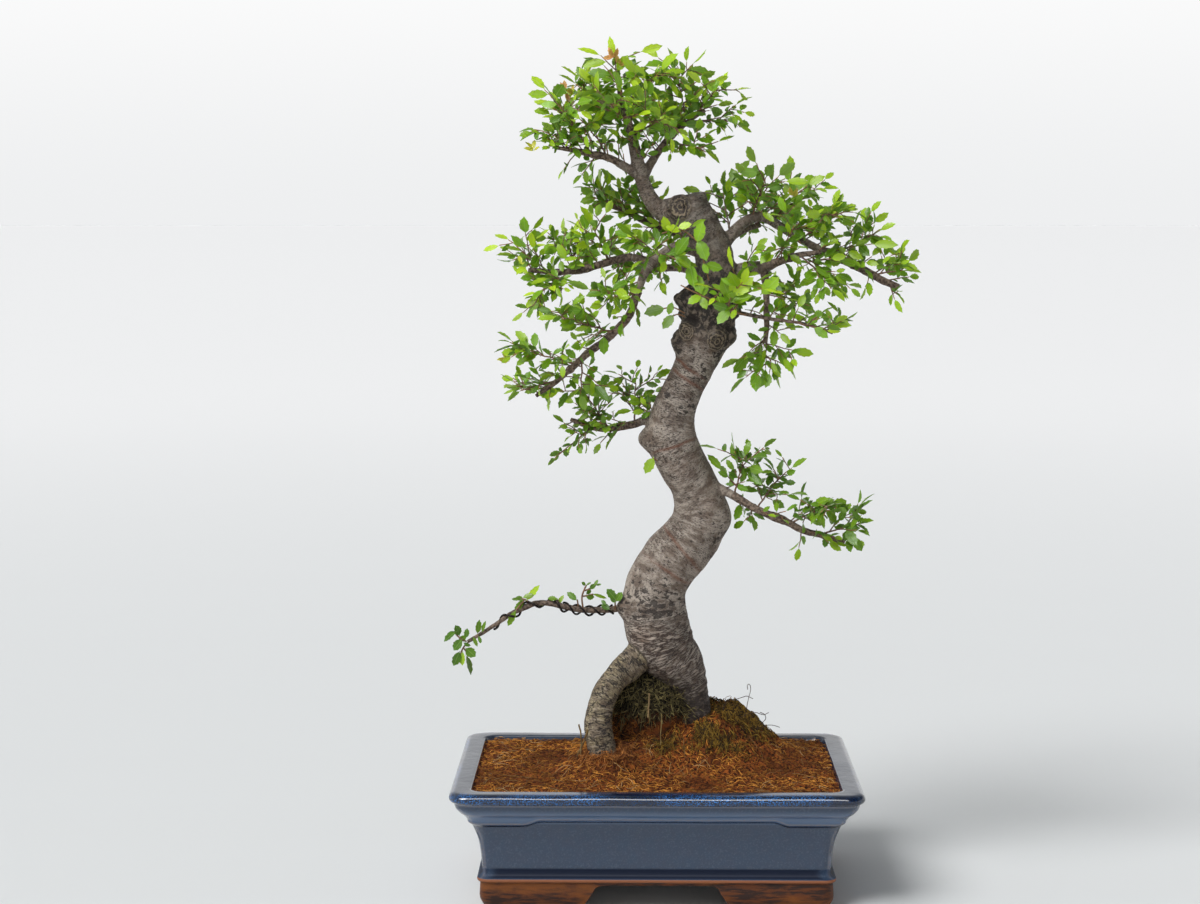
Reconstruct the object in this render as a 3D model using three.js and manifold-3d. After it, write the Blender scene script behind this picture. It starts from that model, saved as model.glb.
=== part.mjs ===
// A Chinese elm bonsai in a glazed rectangular pot, as solids in millimetres with +Z up.
// The tree stands in a mound of fibrous soil, has one root arched clear of the trunk, and carries
// its leaves in sprays on the twig ends. The wired branch at the lower left has two training wires.
// Every route below is written about the centre of the pot's foot, with X to the right, Y away
// from the front and Z up from the table. The finished group is then shifted so that the origin
// is the bottom centre of the whole plant's box.
import * as THREE from "three";
import { mergeVertices } from "three/addons/utils/BufferGeometryUtils.js";
import Module from "manifold-3d";

const wasm = await Module();
wasm.setup();

// Driving dimensions
const GAP = 0.35; // clearance kept between touching pieces
const RIM_WIDTH = 350;
const RIM_DEPTH = 260;
const POT_HEIGHT = 105;
const RIM_CORNER = 17; // radius of the rim's corners, seen from above
const FLOOR_TOP = 32; // top of the pot's floor, above the table
const FOOT_HEIGHT = 22.5; // underside of the pot's floor, above the table
const SOIL_EDGE = 102; // height of the soil where it meets the rim
const LEAF_THICK = 0.6;
const MOUND_CENTRE = { x: 30, y: 8 };

const COLOURS = {
  glaze: 0x3d5475,
  bark: 0x857a72,
  soil: 0x7a4a26,
  leaf: 0x4f8a2a,
  wire: 0x2a2523,
  screen: 0x23272a,
};

const vec = (x, y, z) => new THREE.Vector3(x, y, z);
const UP = vec(0, 0, 1);

// Turns and joins between three.js geometry and solids

// A closed three.js geometry as a solid that can be joined and cut.
function solidOf(geometry) {
  const bare = geometry.clone();
  bare.deleteAttribute("normal");
  bare.deleteAttribute("uv");
  const merged = mergeVertices(bare, 1e-4);
  return new wasm.Manifold(
    new wasm.Mesh({
      numProp: 3,
      vertProperties: merged.attributes.position.array,
      triVerts: new Uint32Array(merged.index.array),
    }),
  );
}

function geometryOf(solid) {
  const mesh = solid.getMesh();
  const geometry = new THREE.BufferGeometry();
  geometry.setAttribute("position", new THREE.BufferAttribute(mesh.vertProperties, 3));
  geometry.setIndex(new THREE.BufferAttribute(mesh.triVerts, 1));
  geometry.computeVertexNormals();
  return geometry;
}

// The largest body of a solid: a scrap that a cut leaves loose is dropped.
function largestBody(solid) {
  return solid.decompose().reduce((a, b) => (a.volume() > b.volume() ? a : b));
}

// Seeded draws between 0 and 1, alike on every run.
function seededDraw(seed) {
  let state = seed;
  return () => {
    state = (state + 0x6d2b79f5) | 0;
    let t = Math.imul(state ^ (state >>> 15), 1 | state);
    t = (t + Math.imul(t ^ (t >>> 7), 61 | t)) ^ t;
    return ((t ^ (t >>> 14)) >>> 0) / 4294967296;
  };
}

// A closed skin over rings of points. The rings run counterclockwise seen from the far end.
function loft(rings) {
  const count = rings[0].length;
  const positions = rings.flat().flatMap((p) => [p.x, p.y, p.z]);
  const index = [];
  rings.slice(1).forEach((_, i) => {
    for (let j = 0; j < count; j++) {
      const next = (j + 1) % count;
      const a = i * count + j;
      const b = i * count + next;
      const c = (i + 1) * count + next;
      const d = (i + 1) * count + j;
      index.push(a, b, c, a, c, d);
    }
  });
  const last = (rings.length - 1) * count;
  for (let j = 1; j < count - 1; j++) {
    index.push(0, j + 1, j);
    index.push(last, last + j, last + j + 1);
  }
  const geometry = new THREE.BufferGeometry();
  geometry.setAttribute("position", new THREE.Float32BufferAttribute(positions, 3));
  geometry.setIndex(index);
  return geometry;
}

// Limbs

// A limb is a smooth curve through points [x, y, z, radius].
function limbOf(rows) {
  const points = rows.map(([x, y, z]) => vec(x, y, z));
  return {
    curve: new THREE.CatmullRomCurve3(points, false, "catmullrom", 0.5),
    radii: rows.map((row) => row[3]),
  };
}

function radiusAt(limb, station) {
  const i = Math.min(Math.floor(station), limb.radii.length - 2);
  return THREE.MathUtils.lerp(limb.radii[i], limb.radii[i + 1], station - i);
}

// A point of a limb, by its station: 2.5 is halfway between the third and the fourth point.
function pointAt(limb, station) {
  return limb.curve.getPoint(station / (limb.radii.length - 1));
}

const FRAME_STEPS = 200; // places along a limb where its direction is worked out

// A tapered tube along a limb, with a ring at each of the shares of its length. swell widens it
// everywhere, and relief gives the rise of its skin at a point.
function limbSolid(limb, sides, shares, swell = 0, relief = () => 0) {
  const frames = limb.curve.computeFrenetFrames(FRAME_STEPS, false);
  const rings = shares.map((share) => {
    const t = limb.curve.getUtoTmapping(share);
    const centre = limb.curve.getPoint(t);
    const frame = Math.round(share * FRAME_STEPS);
    const radius = radiusAt(limb, t * (limb.radii.length - 1)) + swell;
    return Array.from({ length: sides }, (_, j) => {
      const turn = (j / sides) * 2 * Math.PI;
      const outward = frames.normals[frame]
        .clone()
        .multiplyScalar(Math.cos(turn))
        .addScaledVector(frames.binormals[frame], Math.sin(turn));
      const skin = centre.clone().addScaledVector(outward, radius);
      return skin.addScaledVector(outward, relief(skin));
    });
  });
  return solidOf(loft(rings));
}

const evenShares = (steps) => Array.from({ length: steps + 1 }, (_, i) => i / steps);

const TRUNK = limbOf([
  [34, 12, 97, 17],
  [32, 11, 130, 18.5],
  [32, 10, 152, 17.5],
  [28, 8, 172, 18],
  [20, 5, 190, 22.5],
  [8, 2, 207, 27],
  [2, 0, 224, 28.5],
  [-1, -1, 243, 27.5],
  [0, -1, 262, 26.5],
  [10, 1, 281, 26],
  [25, 4, 299, 26],
  [36, 6, 316, 24.5],
  [38, 6, 333, 22.5],
  [33, 4, 352, 20.5],
  [22, 1, 372, 21.5],
  [14, -1, 392, 21.5],
  [14, -2, 412, 19.5],
  [22, -1, 434, 17.7],
  [32, 1, 455, 17.3],
  [40, 2, 476, 20],
  [46, 2, 500, 21],
  [51, 2, 524, 19],
  [51, 3, 546, 16.5],
  [46, 4, 563, 15.5],
  [37, 4, 576, 16.5],
  [28, 3, 590, 18],
  [25, 2, 604, 17.2],
]);

const ARCHED_ROOT = limbOf([
  [8, 0, 214, 17],
  [-8, -4, 206, 15.5],
  [-24, -10, 193, 12.5],
  [-38, -17, 181, 11],
  [-47, -23, 167, 11.5],
  [-50, -27, 150, 12.3],
  [-49, -29, 132, 12.8],
  [-45, -29, 112, 12.8],
  [-42, -28, 97, 12],
]);

// Burrs, pruning scars and calluses on the trunk: centre, rise and spread.
const KNOTS = [
  [20, -12, 481, 10, 11],
  [25, -4, 515, 17, 11],
  [48, -24, 486, 8, 10],
  [64, -6, 479, 5, 9],
  [70, 0, 502, 4, 10],
  [38, -22, 514, 6, 10],
  [42, 24, 498, 9, 15],
  [8, -3, 603, 4, 7],
  [44, 0, 588, 3, 9],
  [-8, 1, 393, 9, 9],
  [-28, -2, 244, 7, 9],
  [60, 2, 322, 5, 12],
];

// Rise of the trunk's skin at a point: its burrs, and a slow unevenness all over.
function trunkRelief(point) {
  const burrs = KNOTS.map(([x, y, z, rise, spread]) => {
    const away = point.distanceToSquared(vec(x, y, z));
    return rise * Math.exp(-away / spread ** 2);
  });
  const uneven = 0.9 * Math.sin(point.z * 0.11 + point.x * 0.13) * Math.sin(point.y * 0.17);
  return burrs.reduce((sum, rise) => sum + rise, uneven);
}

const LIMBS = {
  crown_stem: limbOf([
    [24, 2, 584, 9],
    [7, 0, 588, 8],
    [-5, -1, 600, 6.8],
    [-12, 0, 615, 6],
    [-16, 0, 630, 5.6],
    [-20, 2, 647, 4.8],
    [-25, 4, 665, 3.8],
    [-30, 2, 684, 2.8],
    [-33, -4, 702, 1.8],
  ]),
  crown_left: limbOf([
    [-14, 0, 620, 4.5],
    [-28, -4, 629, 3.6],
    [-42, -8, 636, 3.1],
    [-54, -12, 639, 2.8],
    [-68, -14, 642, 2.2],
    [-86, -14, 644, 1.5],
  ]),
  crown_right: limbOf([
    [-13, 0, 618, 4.8],
    [-6, 6, 631, 3.8],
    [3, 12, 645, 3.2],
    [12, 16, 655, 2.8],
    [25, 19, 666, 2.2],
    [42, 20, 678, 1.5],
  ]),
  crown_front: limbOf([
    [-20, 0, 646, 3],
    [-22, -20, 660, 2.4],
    [-24, -40, 670, 1.6],
  ]),
  crown_back: limbOf([
    [-18, 0, 640, 3.2],
    [-22, 24, 656, 2.6],
    [-26, 46, 666, 1.7],
  ]),
  high_left: limbOf([
    [36, 8, 570, 6],
    [16, 18, 572, 4.2],
    [-6, 25, 580, 3.2],
    [-24, 28, 589, 2.6],
    [-42, 28, 595, 1.8],
  ]),
  upper_left: limbOf([
    [44, 0, 556, 8],
    [22, -8, 560, 6],
    [3, -14, 552, 4.8],
    [-10, -18, 539, 4.2],
    [-17, -21, 520, 3.6],
    [-26, -23, 498, 3.4],
    [-45, -25, 480, 3.3],
    [-61, -25, 468, 3.1],
    [-76, -23, 454, 2.7],
    [-90, -20, 442, 2.2],
    [-104, -16, 431, 1.6],
  ]),
  middle_left: limbOf([
    [-2, -14, 546, 4],
    [-24, -6, 551, 3.6],
    [-46, 4, 545, 3.3],
    [-68, 10, 539, 2.9],
    [-90, 13, 537, 2.3],
    [-112, 14, 540, 1.6],
  ]),
  small_left: limbOf([
    [10, 2, 400, 6],
    [-8, 7, 408, 4],
    [-22, 12, 404, 3.4],
    [-42, 15, 400, 2.8],
    [-60, 16, 402, 2.1],
    [-76, 16, 408, 1.5],
  ]),
  upper_right: limbOf([
    [48, 3, 552, 8],
    [62, 9, 567, 6],
    [76, 14, 581, 5],
    [92, 16, 586, 4.8],
    [108, 16, 577, 4.4],
    [131, 14, 563, 4],
    [154, 12, 552, 3.8],
    [183, 9, 538, 3.4],
    [210, 6, 524, 3],
  ]),
  lower_right: limbOf([
    [52, 4, 530, 9],
    [76, 0, 540, 6.5],
    [94, -6, 543, 5],
    [106, -12, 548, 3.4],
    [122, -18, 553, 2.6],
    [141, -22, 556, 1.7],
  ]),
  hanging: limbOf([
    [92, -5, 541, 3.6],
    [95, -10, 521, 3],
    [95, -12, 500, 2.6],
    [94, -12, 477, 2],
  ]),
  back_right: limbOf([
    [50, 8, 556, 6],
    [62, 28, 566, 4],
    [78, 48, 574, 3],
    [92, 66, 578, 2],
  ]),
  back_left: limbOf([
    [46, 10, 536, 6],
    [28, 30, 540, 4],
    [8, 48, 540, 3],
    [-14, 62, 536, 2],
  ]),
  young_shoot: limbOf([
    [44, -8, 519, 2],
    [50, -24, 513, 1.9],
    [62, -29, 507, 1.8],
    [76, -32, 503, 1.7],
    [99, -34, 499, 1.5],
    [124, -34, 495, 1.3],
    [150, -32, 487, 1.1],
  ]),
  middle_right: limbOf([
    [44, 4, 352, 7],
    [58, 0, 348, 4.4],
    [68, -4, 343, 3.7],
    [82, -8, 335, 3.3],
    [96, -11, 328, 3.2],
    [113, -13, 321, 3.1],
    [129, -14, 314, 2.9],
    [146, -14, 309, 2.6],
    [163, -13, 304, 2.3],
  ]),
  wired: limbOf([
    [-16, 0, 244, 6],
    [-33, -3, 243, 3.1],
    [-49, -5, 242, 2.8],
    [-64, -7, 242, 2.7],
    [-79, -9, 245, 2.6],
    [-93, -11, 249, 2.5],
    [-106, -12, 249, 2.4],
    [-118, -13, 244, 2.3],
    [-130, -14, 237, 2.1],
    [-142, -15, 230, 1.9],
    [-153, -16, 223, 1.7],
    [-165, -17, 216, 1.4],
  ]),
};

// Rings are closer together along the burred stretch of the trunk.
const BURRED = { from: 0.67, to: 0.79, extra: 6 };

// Trunk, arched root and limbs, grown together as one piece of wood.
function woodSolid(swell) {
  const trunkShares = evenShares(29).filter((share) => share < BURRED.from || share > BURRED.to);
  for (let i = 0; i <= BURRED.extra; i++) {
    trunkShares.push(THREE.MathUtils.lerp(BURRED.from + 0.01, BURRED.to - 0.01, i / BURRED.extra));
  }
  trunkShares.sort((a, b) => a - b);
  const parts = [
    limbSolid(TRUNK, 12, trunkShares, swell, trunkRelief),
    limbSolid(ARCHED_ROOT, 8, evenShares(9), swell, trunkRelief),
  ];
  for (const limb of Object.values(LIMBS)) {
    const thick = Math.max(...limb.radii.slice(1));
    const sides = thick > 3.5 ? 5 : 4;
    parts.push(limbSolid(limb, sides, evenShares(limb.radii.length - 1), swell));
  }
  return largestBody(wasm.Manifold.union(parts));
}

// Pot

// A rounded rectangle as a ring of points, counterclockwise from above.
function roundedRing(halfX, halfY, corner, z, perCorner) {
  const ring = [];
  const centres = [
    [halfX - corner, halfY - corner],
    [corner - halfX, halfY - corner],
    [corner - halfX, corner - halfY],
    [halfX - corner, corner - halfY],
  ];
  centres.forEach(([x, y], quarter) => {
    for (let k = 0; k < perCorner; k++) {
      const turn = (quarter + k / (perCorner - 1)) * (Math.PI / 2);
      ring.push(vec(x + corner * Math.cos(turn), y + corner * Math.sin(turn), z));
    }
  });
  return ring;
}

// The pot's wall in section, as [inset from the rim's edge, height above the table].
const OUTER_WALL = [
  [29.5, 0],
  [24.6, 11],
  [24.9, 23.5],
  [22.5, 25],
  [22.8, 31],
  [25.2, 33],
  [23.6, 58],
  [17.5, 76],
  [7, 89],
  [1.2, 96],
  [0, 100.5],
  [3.6, POT_HEIGHT],
];
const INNER_WALL = [
  [16, POT_HEIGHT],
  [24, 88],
  [34, 42],
  [39, FLOOR_TOP],
];
const WALL_CORNER_POINTS = 4;

function wallRing([inset, z], extraInset = 0) {
  const total = inset + extraInset;
  const corner = Math.max(RIM_CORNER - total * 0.28, 5);
  const halfX = RIM_WIDTH / 2 - total;
  const halfY = RIM_DEPTH / 2 - total;
  return roundedRing(halfX, halfY, corner, z, WALL_CORNER_POINTS);
}

// A bar along X or Y with a trapezium section, for the gap between two feet.
function gapBar({ halfTop, halfBottom }, length, alongX) {
  const section = new THREE.Shape([
    new THREE.Vector2(-halfBottom, -1),
    new THREE.Vector2(halfBottom, -1),
    new THREE.Vector2(halfTop, FOOT_HEIGHT),
    new THREE.Vector2(-halfTop, FOOT_HEIGHT),
  ]);
  const bar = new THREE.ExtrudeGeometry(section, { depth: length, bevelEnabled: false });
  bar.rotateX(Math.PI / 2);
  bar.translate(0, length / 2, 0);
  if (alongX) bar.rotateZ(Math.PI / 2);
  return solidOf(bar);
}

// The outline of a sunk panel on a wall, as a prism that runs right through the pot.
function panelPrism({ half, low, high }, length, alongX) {
  const round = 12;
  const shape = new THREE.Shape();
  shape.moveTo(-half + round, low);
  shape.lineTo(half - round, low);
  shape.quadraticCurveTo(half, low, half, low + round);
  shape.lineTo(half, high - round);
  shape.quadraticCurveTo(half, high, half - round, high);
  shape.lineTo(-half + round, high);
  shape.quadraticCurveTo(-half, high, -half, high - round);
  shape.lineTo(-half, low + round);
  shape.quadraticCurveTo(-half, low, -half + round, low);
  const options = { depth: length, bevelEnabled: false, curveSegments: 3 };
  const prism = new THREE.ExtrudeGeometry(shape, options);
  prism.rotateX(Math.PI / 2);
  prism.translate(0, length / 2, 0);
  if (alongX) prism.rotateZ(Math.PI / 2);
  return solidOf(prism);
}

const DRAIN_HOLES = [-78, 78]; // places along X
const DRAIN_RADIUS = 9;
const PANEL_SINK = 1.5;
const FRONT_PANEL = { half: 116, low: 41, high: 74 };
const SIDE_PANEL = { half: 72, low: 41, high: 74 };
const UNDERSIDE = { x: 252, y: 166 }; // hollow between the feet
const FRONT_GAP = { halfTop: 50, halfBottom: 65 }; // between the feet, seen from the front
const SIDE_GAP = { halfTop: 38, halfBottom: 50 };

function potSolid() {
  const rings = [...OUTER_WALL, ...INNER_WALL].map((row) => wallRing(row));
  let pot = solidOf(loft(rings));
  const sunkBody = solidOf(loft(OUTER_WALL.map((row) => wallRing(row, PANEL_SINK))));
  const panels = [
    panelPrism(FRONT_PANEL, 2 * RIM_DEPTH, false),
    panelPrism(SIDE_PANEL, 2 * RIM_WIDTH, true),
  ];
  for (const panel of panels) pot = pot.subtract(panel.subtract(sunkBody));
  const underside = new THREE.BoxGeometry(UNDERSIDE.x, UNDERSIDE.y, 2 * FOOT_HEIGHT);
  pot = pot.subtract(solidOf(underside));
  pot = pot.subtract(gapBar(FRONT_GAP, 2 * RIM_DEPTH, false));
  pot = pot.subtract(gapBar(SIDE_GAP, 2 * RIM_WIDTH, true));
  for (const x of DRAIN_HOLES) {
    const throughFloor = 2 * FLOOR_TOP - FOOT_HEIGHT;
    const hole = new THREE.CylinderGeometry(DRAIN_RADIUS, DRAIN_RADIUS, throughFloor, 10);
    hole.rotateX(Math.PI / 2);
    hole.translate(x, 0, FLOOR_TOP);
    pot = pot.subtract(solidOf(hole));
  }
  return pot;
}

// A square of plastic mesh over a drain hole, lying on the pot's floor under the soil.
const SCREEN = { side: 26, thick: 1.2, openings: 2 };

function screenSolid(x) {
  const sheet = new THREE.BoxGeometry(SCREEN.side, SCREEN.side, SCREEN.thick);
  let screen = solidOf(sheet);
  const pitch = SCREEN.side / (SCREEN.openings + 0.4);
  const middle = (SCREEN.openings - 1) / 2;
  for (let i = 0; i < SCREEN.openings; i++) {
    for (let j = 0; j < SCREEN.openings; j++) {
      const opening = new THREE.BoxGeometry(pitch * 0.7, pitch * 0.7, 5);
      opening.translate((i - middle) * pitch, (j - middle) * pitch, 0);
      screen = screen.subtract(solidOf(opening));
    }
  }
  return screen.translate(x, 0, FLOOR_TOP + GAP + SCREEN.thick / 2);
}

// Soil

// Height of the soil's surface: nearly level at the rim, heaped round the trunk and the root.
function soilHeight(x, y) {
  const bell = (cx, cy, wideX, wideY) =>
    Math.exp(-(((x - cx) / wideX) ** 2) - ((y - cy) / wideY) ** 2);
  const heap = Math.min(66 * bell(42, 26, 76, 48), 56) + 17 * bell(-47, -30, 34, 30);
  return SOIL_EDGE + heap + 0.9 * Math.sin(x * 0.21) * Math.cos(y * 0.17);
}

// The soil's outline at one level, following the inside of the pot, with points along its sides.
function soilRing(inset, z) {
  const corner = Math.max(RIM_CORNER - inset * 0.28, 5);
  const ring = roundedRing(RIM_WIDTH / 2 - inset, RIM_DEPTH / 2 - inset, corner, z, 3);
  const extra = [2, 4, 2, 4];
  return ring.flatMap((point, i) => {
    if (i % 3 !== 2) return [point];
    const next = ring[(i + 1) % ring.length];
    const count = extra[((i - 2) / 3 + 1) % 4];
    const between = Array.from({ length: count }, (_, k) =>
      point.clone().lerp(next, (k + 1) / (count + 1)),
    );
    return [point, ...between];
  });
}

const MOSS_CLUMP = { centre: [-3, 8, 143], half: [37, 19, 51] };

function soilSolid(wood) {
  const below = [
    [39 + GAP, FLOOR_TOP + 2 * GAP + SCREEN.thick],
    [34 + GAP, 42],
    [24 + GAP, 88],
    [17.4 + GAP, SOIL_EDGE],
  ];
  const rings = below.map(([inset, z]) => soilRing(inset, z));
  const edge = rings[rings.length - 1];
  for (const share of [0.84, 0.69, 0.54, 0.39, 0.23, 0.08]) {
    rings.push(
      edge.map((point) => {
        const x = THREE.MathUtils.lerp(MOUND_CENTRE.x, point.x, share);
        const y = THREE.MathUtils.lerp(MOUND_CENTRE.y, point.y, share);
        return vec(x, y, soilHeight(x, y));
      }),
    );
  }
  const clump = new THREE.IcosahedronGeometry(1, 1);
  clump.scale(...MOSS_CLUMP.half);
  clump.translate(...MOSS_CLUMP.centre);
  const soil = solidOf(loft(rings)).add(solidOf(clump));
  return largestBody(soil.subtract(wood));
}

// Training wires, wound round the wired branch

function wireSolid(wire, swell = 0) {
  const limb = LIMBS.wired;
  const last = limb.radii.length - 1;
  const perTurn = 8;
  const steps = Math.round(wire.turns * perTurn);
  const loose = 1 / Math.cos(Math.PI / perTurn);
  const frames = limb.curve.computeFrenetFrames(FRAME_STEPS, false);
  const rows = evenShares(steps).map((share, i) => {
    const u = THREE.MathUtils.lerp(wire.from, wire.to, share);
    const t = limb.curve.getUtoTmapping(u);
    const frame = Math.round(u * FRAME_STEPS);
    const angle = wire.phase + (i / perTurn) * 2 * Math.PI;
    const reach = (radiusAt(limb, t * last) + wire.radius + 2 * GAP) * loose;
    const p = limb.curve
      .getPoint(t)
      .addScaledVector(frames.normals[frame], Math.cos(angle) * reach)
      .addScaledVector(frames.binormals[frame], Math.sin(angle) * reach);
    return [p.x, p.y, p.z, wire.radius];
  });
  return limbSolid(limbOf(rows), 4, evenShares(steps), swell);
}

const WIRES = {
  wire_long: { radius: 1, turns: 5, phase: 0.6, from: 0.14, to: 0.84 },
  wire_short: { radius: 0.9, turns: 2, phase: 3.74, from: 0.14, to: 0.42 },
};

// Leafy sprays

// Each spray springs from a limb at a station and reaches to a tip [x, y, z]. A fourth entry shrinks its twigs.
const SPRAYS = [
  ["crown_left", 4.4, [-88, -20, 656]],
  ["crown_left", 3.2, [-80, -38, 684]],
  ["crown_left", 2, [-62, 22, 668]],
  ["crown_stem", 5.6, [-66, 8, 704]],
  ["crown_stem", 7.4, [-38, -2, 720]],
  ["crown_stem", 6.4, [-2, -20, 712]],
  ["crown_right", 4, [20, 10, 714]],
  ["crown_right", 4.4, [50, 6, 698]],
  ["crown_right", 4.2, [62, 28, 672]],
  ["crown_right", 2.4, [40, -8, 648]],
  ["crown_right", 3.2, [12, 52, 680]],
  ["crown_front", 1.2, [-42, -60, 688]],
  ["crown_front", 0.6, [6, -44, 672]],
  ["crown_back", 1.2, [-36, 62, 690]],
  ["high_left", 2.6, [-54, 20, 606]],
  ["high_left", 1.6, [-18, 54, 610]],
  ["middle_left", 4.2, [-116, 6, 558]],
  ["middle_left", 3, [-84, 34, 572]],
  ["middle_left", 3.4, [-104, 2, 518]],
  ["middle_left", 1.8, [-52, -20, 576]],
  ["upper_left", 2, [-6, -52, 560]],
  ["upper_left", 4, [-44, -50, 524]],
  ["upper_left", 5.6, [-82, -36, 502]],
  ["upper_left", 7.6, [-116, -40, 474]],
  ["upper_left", 8.8, [-118, -12, 438]],
  ["upper_left", 7.2, [-66, -12, 434]],
  ["small_left", 3.8, [-74, 4, 390]],
  ["small_left", 3, [-60, 8, 430]],
  ["small_left", 1.8, [-20, 22, 444]],
  ["upper_right", 7.2, [212, -2, 542]],
  ["upper_right", 6, [184, 24, 570]],
  ["upper_right", 4.8, [152, -8, 592]],
  ["upper_right", 3.6, [124, 34, 612]],
  ["upper_right", 2.4, [94, -10, 622]],
  ["upper_right", 1.2, [54, 22, 612]],
  ["lower_right", 4, [152, -34, 530]],
  ["lower_right", 2.6, [118, -30, 576]],
  ["hanging", 1, [126, 6, 514]],
  ["hanging", 2.4, [94, -16, 456]],
  ["young_shoot", 4.6, [144, -40, 490]],
  ["young_shoot", 1.6, [72, -54, 528]],
  ["back_right", 2, [100, 82, 586]],
  ["back_left", 2, [-26, 80, 546]],
  ["middle_right", 6.8, [174, -14, 322]],
  ["middle_right", 5.2, [148, -32, 342]],
  ["middle_right", 3.4, [108, 10, 362]],
  ["middle_right", 2, [76, -8, 378]],
  ["wired", 9.6, [-172, -20, 208], 0.62],
  ["wired", 7.4, [-124, -16, 254], 0.42],
  ["wired", 3, [-40, -8, 262], 0.42],
];
const SPRAY_SEED = 101;
const LEAF_PITCH = 6.3; // along a twig, from a leaf on one side to the next on the other

// How a spray grows: a leafy shoot that droops a little, with leafy twigs by turns left and right
// of it. The leaves of each lie in its plane, as an elm's do: by turns left and right, and one at
// the end. Every draw is made in this order, so that a spray keeps its shape.
function growSpray([limbName, station, tipPoint, scale = 1], seed) {
  const draw = seededDraw(seed);
  const between = (low, high) => low + (high - low) * draw();
  const start = pointAt(LIMBS[limbName], station);
  const tip = vec(...tipPoint);
  const reach = tip.distanceTo(start);
  const heading = tip.clone().sub(start).normalize();
  const grow = (root, ahead, length, bare, ribs, firstHand) => {
    const facing = vec(between(-0.8, 0.8), between(-1.2, 0.4), between(0.2, 0.9));
    const across = vec().crossVectors(facing, ahead).normalize();
    const normal = vec().crossVectors(ahead, across);
    const leaves = [];
    const pitch = LEAF_PITCH * scale;
    for (let t = bare, hand = firstHand; t < length - 6 * scale; t += pitch, hand = -hand) {
      const size = between(13.5, 19) * scale;
      leaves.push({ at: t, hand, turn: between(0.86, 0.96), size });
    }
    leaves.push({ at: length, hand: 0, turn: 0, size: between(14.5, 19.5) * scale });
    return { root, ahead, across, normal, length, ribs, leaves };
  };
  const shoot = grow(start, heading, reach, Math.max(reach * 0.45, 12), [1, 0.6], 1);
  const side = vec().crossVectors(heading, UP);
  if (side.length() < 0.5) side.set(1, 0, 0);
  side.normalize();
  const twigs = [shoot];
  const sideTwigs = Math.max(4, Math.round(reach / 7.5));
  for (let i = 0; i < sideTwigs; i++) {
    const along = reach * (0.25 + (0.65 * i) / (sideTwigs - 1));
    const hand = i % 2 ? 1 : -1;
    const ahead = heading
      .clone()
      .multiplyScalar(between(0.2, 0.75))
      .addScaledVector(side, hand * between(0.5, 1))
      .addScaledVector(UP, between(-0.3, 0.75))
      .normalize();
    const length = between(17, 25) * scale;
    twigs.push(grow(onTwig(shoot, along, 0), ahead, length, 4.5 * scale, [0.7, 0.5], hand));
  }
  return twigs;
}

const SIDE_DROOP = 0.01; // fall of a leaf below its twig's plane, per square of the way out
const END_DROOP = 0.1; // fall of a twig's end below its first heading, as a share of its length

// A point of a leafy twig's surface: so far along it, so far out from its middle line.
function onTwig({ root, ahead, across, normal, length }, along, out, lift = 0) {
  const fall = SIDE_DROOP * out ** 2 + (END_DROOP * along ** 2) / length;
  return root
    .clone()
    .addScaledVector(ahead, along)
    .addScaledVector(across, out)
    .addScaledVector(normal, lift - fall);
}

// A leaf's two edges from root to tip, as [share of its length, share of half its width]. The
// notches are its teeth.
const LEAF_EDGES = {
  near: [
    [0.26, 0.78],
    [0.52, 1],
    [0.59, 0.76],
  ],
  far: [[0.46, 1]],
};
const leafHalfWidth = (size) => Math.min(0.27 * size, 4.7);

// The outline of a leafy twig in its own plane, as [along, out], with its leaves cut to the rib.
function twigOutline({ length, leaves, ribs }, from) {
  const rib = (along) => THREE.MathUtils.lerp(ribs[0], ribs[1], along / length);
  const edge = (leaf, rows, sideways) =>
    rows.map(([share, half]) => {
      const reach = share * leaf.size;
      const off = sideways * half * leafHalfWidth(leaf.size);
      const cos = Math.cos(leaf.turn);
      const sin = Math.sin(leaf.turn);
      const hand = leaf.hand || 1;
      return [leaf.at + reach * cos - off * sin, hand * (reach * sin + off * cos)];
    });
  // From the rib out along one edge of a leaf and back along the other.
  const sideLeaf = (leaf) => [
    [leaf.at - 0.7, leaf.hand * rib(leaf.at)],
    ...edge(leaf, LEAF_EDGES.near, 1),
    ...edge(leaf, [[1, 0]], 0),
    ...edge(leaf, LEAF_EDGES.far, -1).reverse(),
    [leaf.at + 0.8, leaf.hand * rib(leaf.at)],
  ];
  const end = leaves[leaves.length - 1];
  const bare = leaves[0].at / 2;
  return [
    [from, -ribs[0]],
    ...(bare > 4 ? [[bare, -rib(bare)]] : []),
    ...leaves.filter(({ hand }) => hand < 0).flatMap(sideLeaf),
    ...edge(end, LEAF_EDGES.near, -1),
    ...edge(end, [[1, 0]], 0),
    ...edge(end, LEAF_EDGES.far, 1).reverse(),
    ...leaves
      .filter(({ hand }) => hand > 0)
      .flatMap(sideLeaf)
      .reverse(),
    ...(bare > 4 ? [[bare, rib(bare)]] : []),
    [from, ribs[0]],
  ];
}

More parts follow.
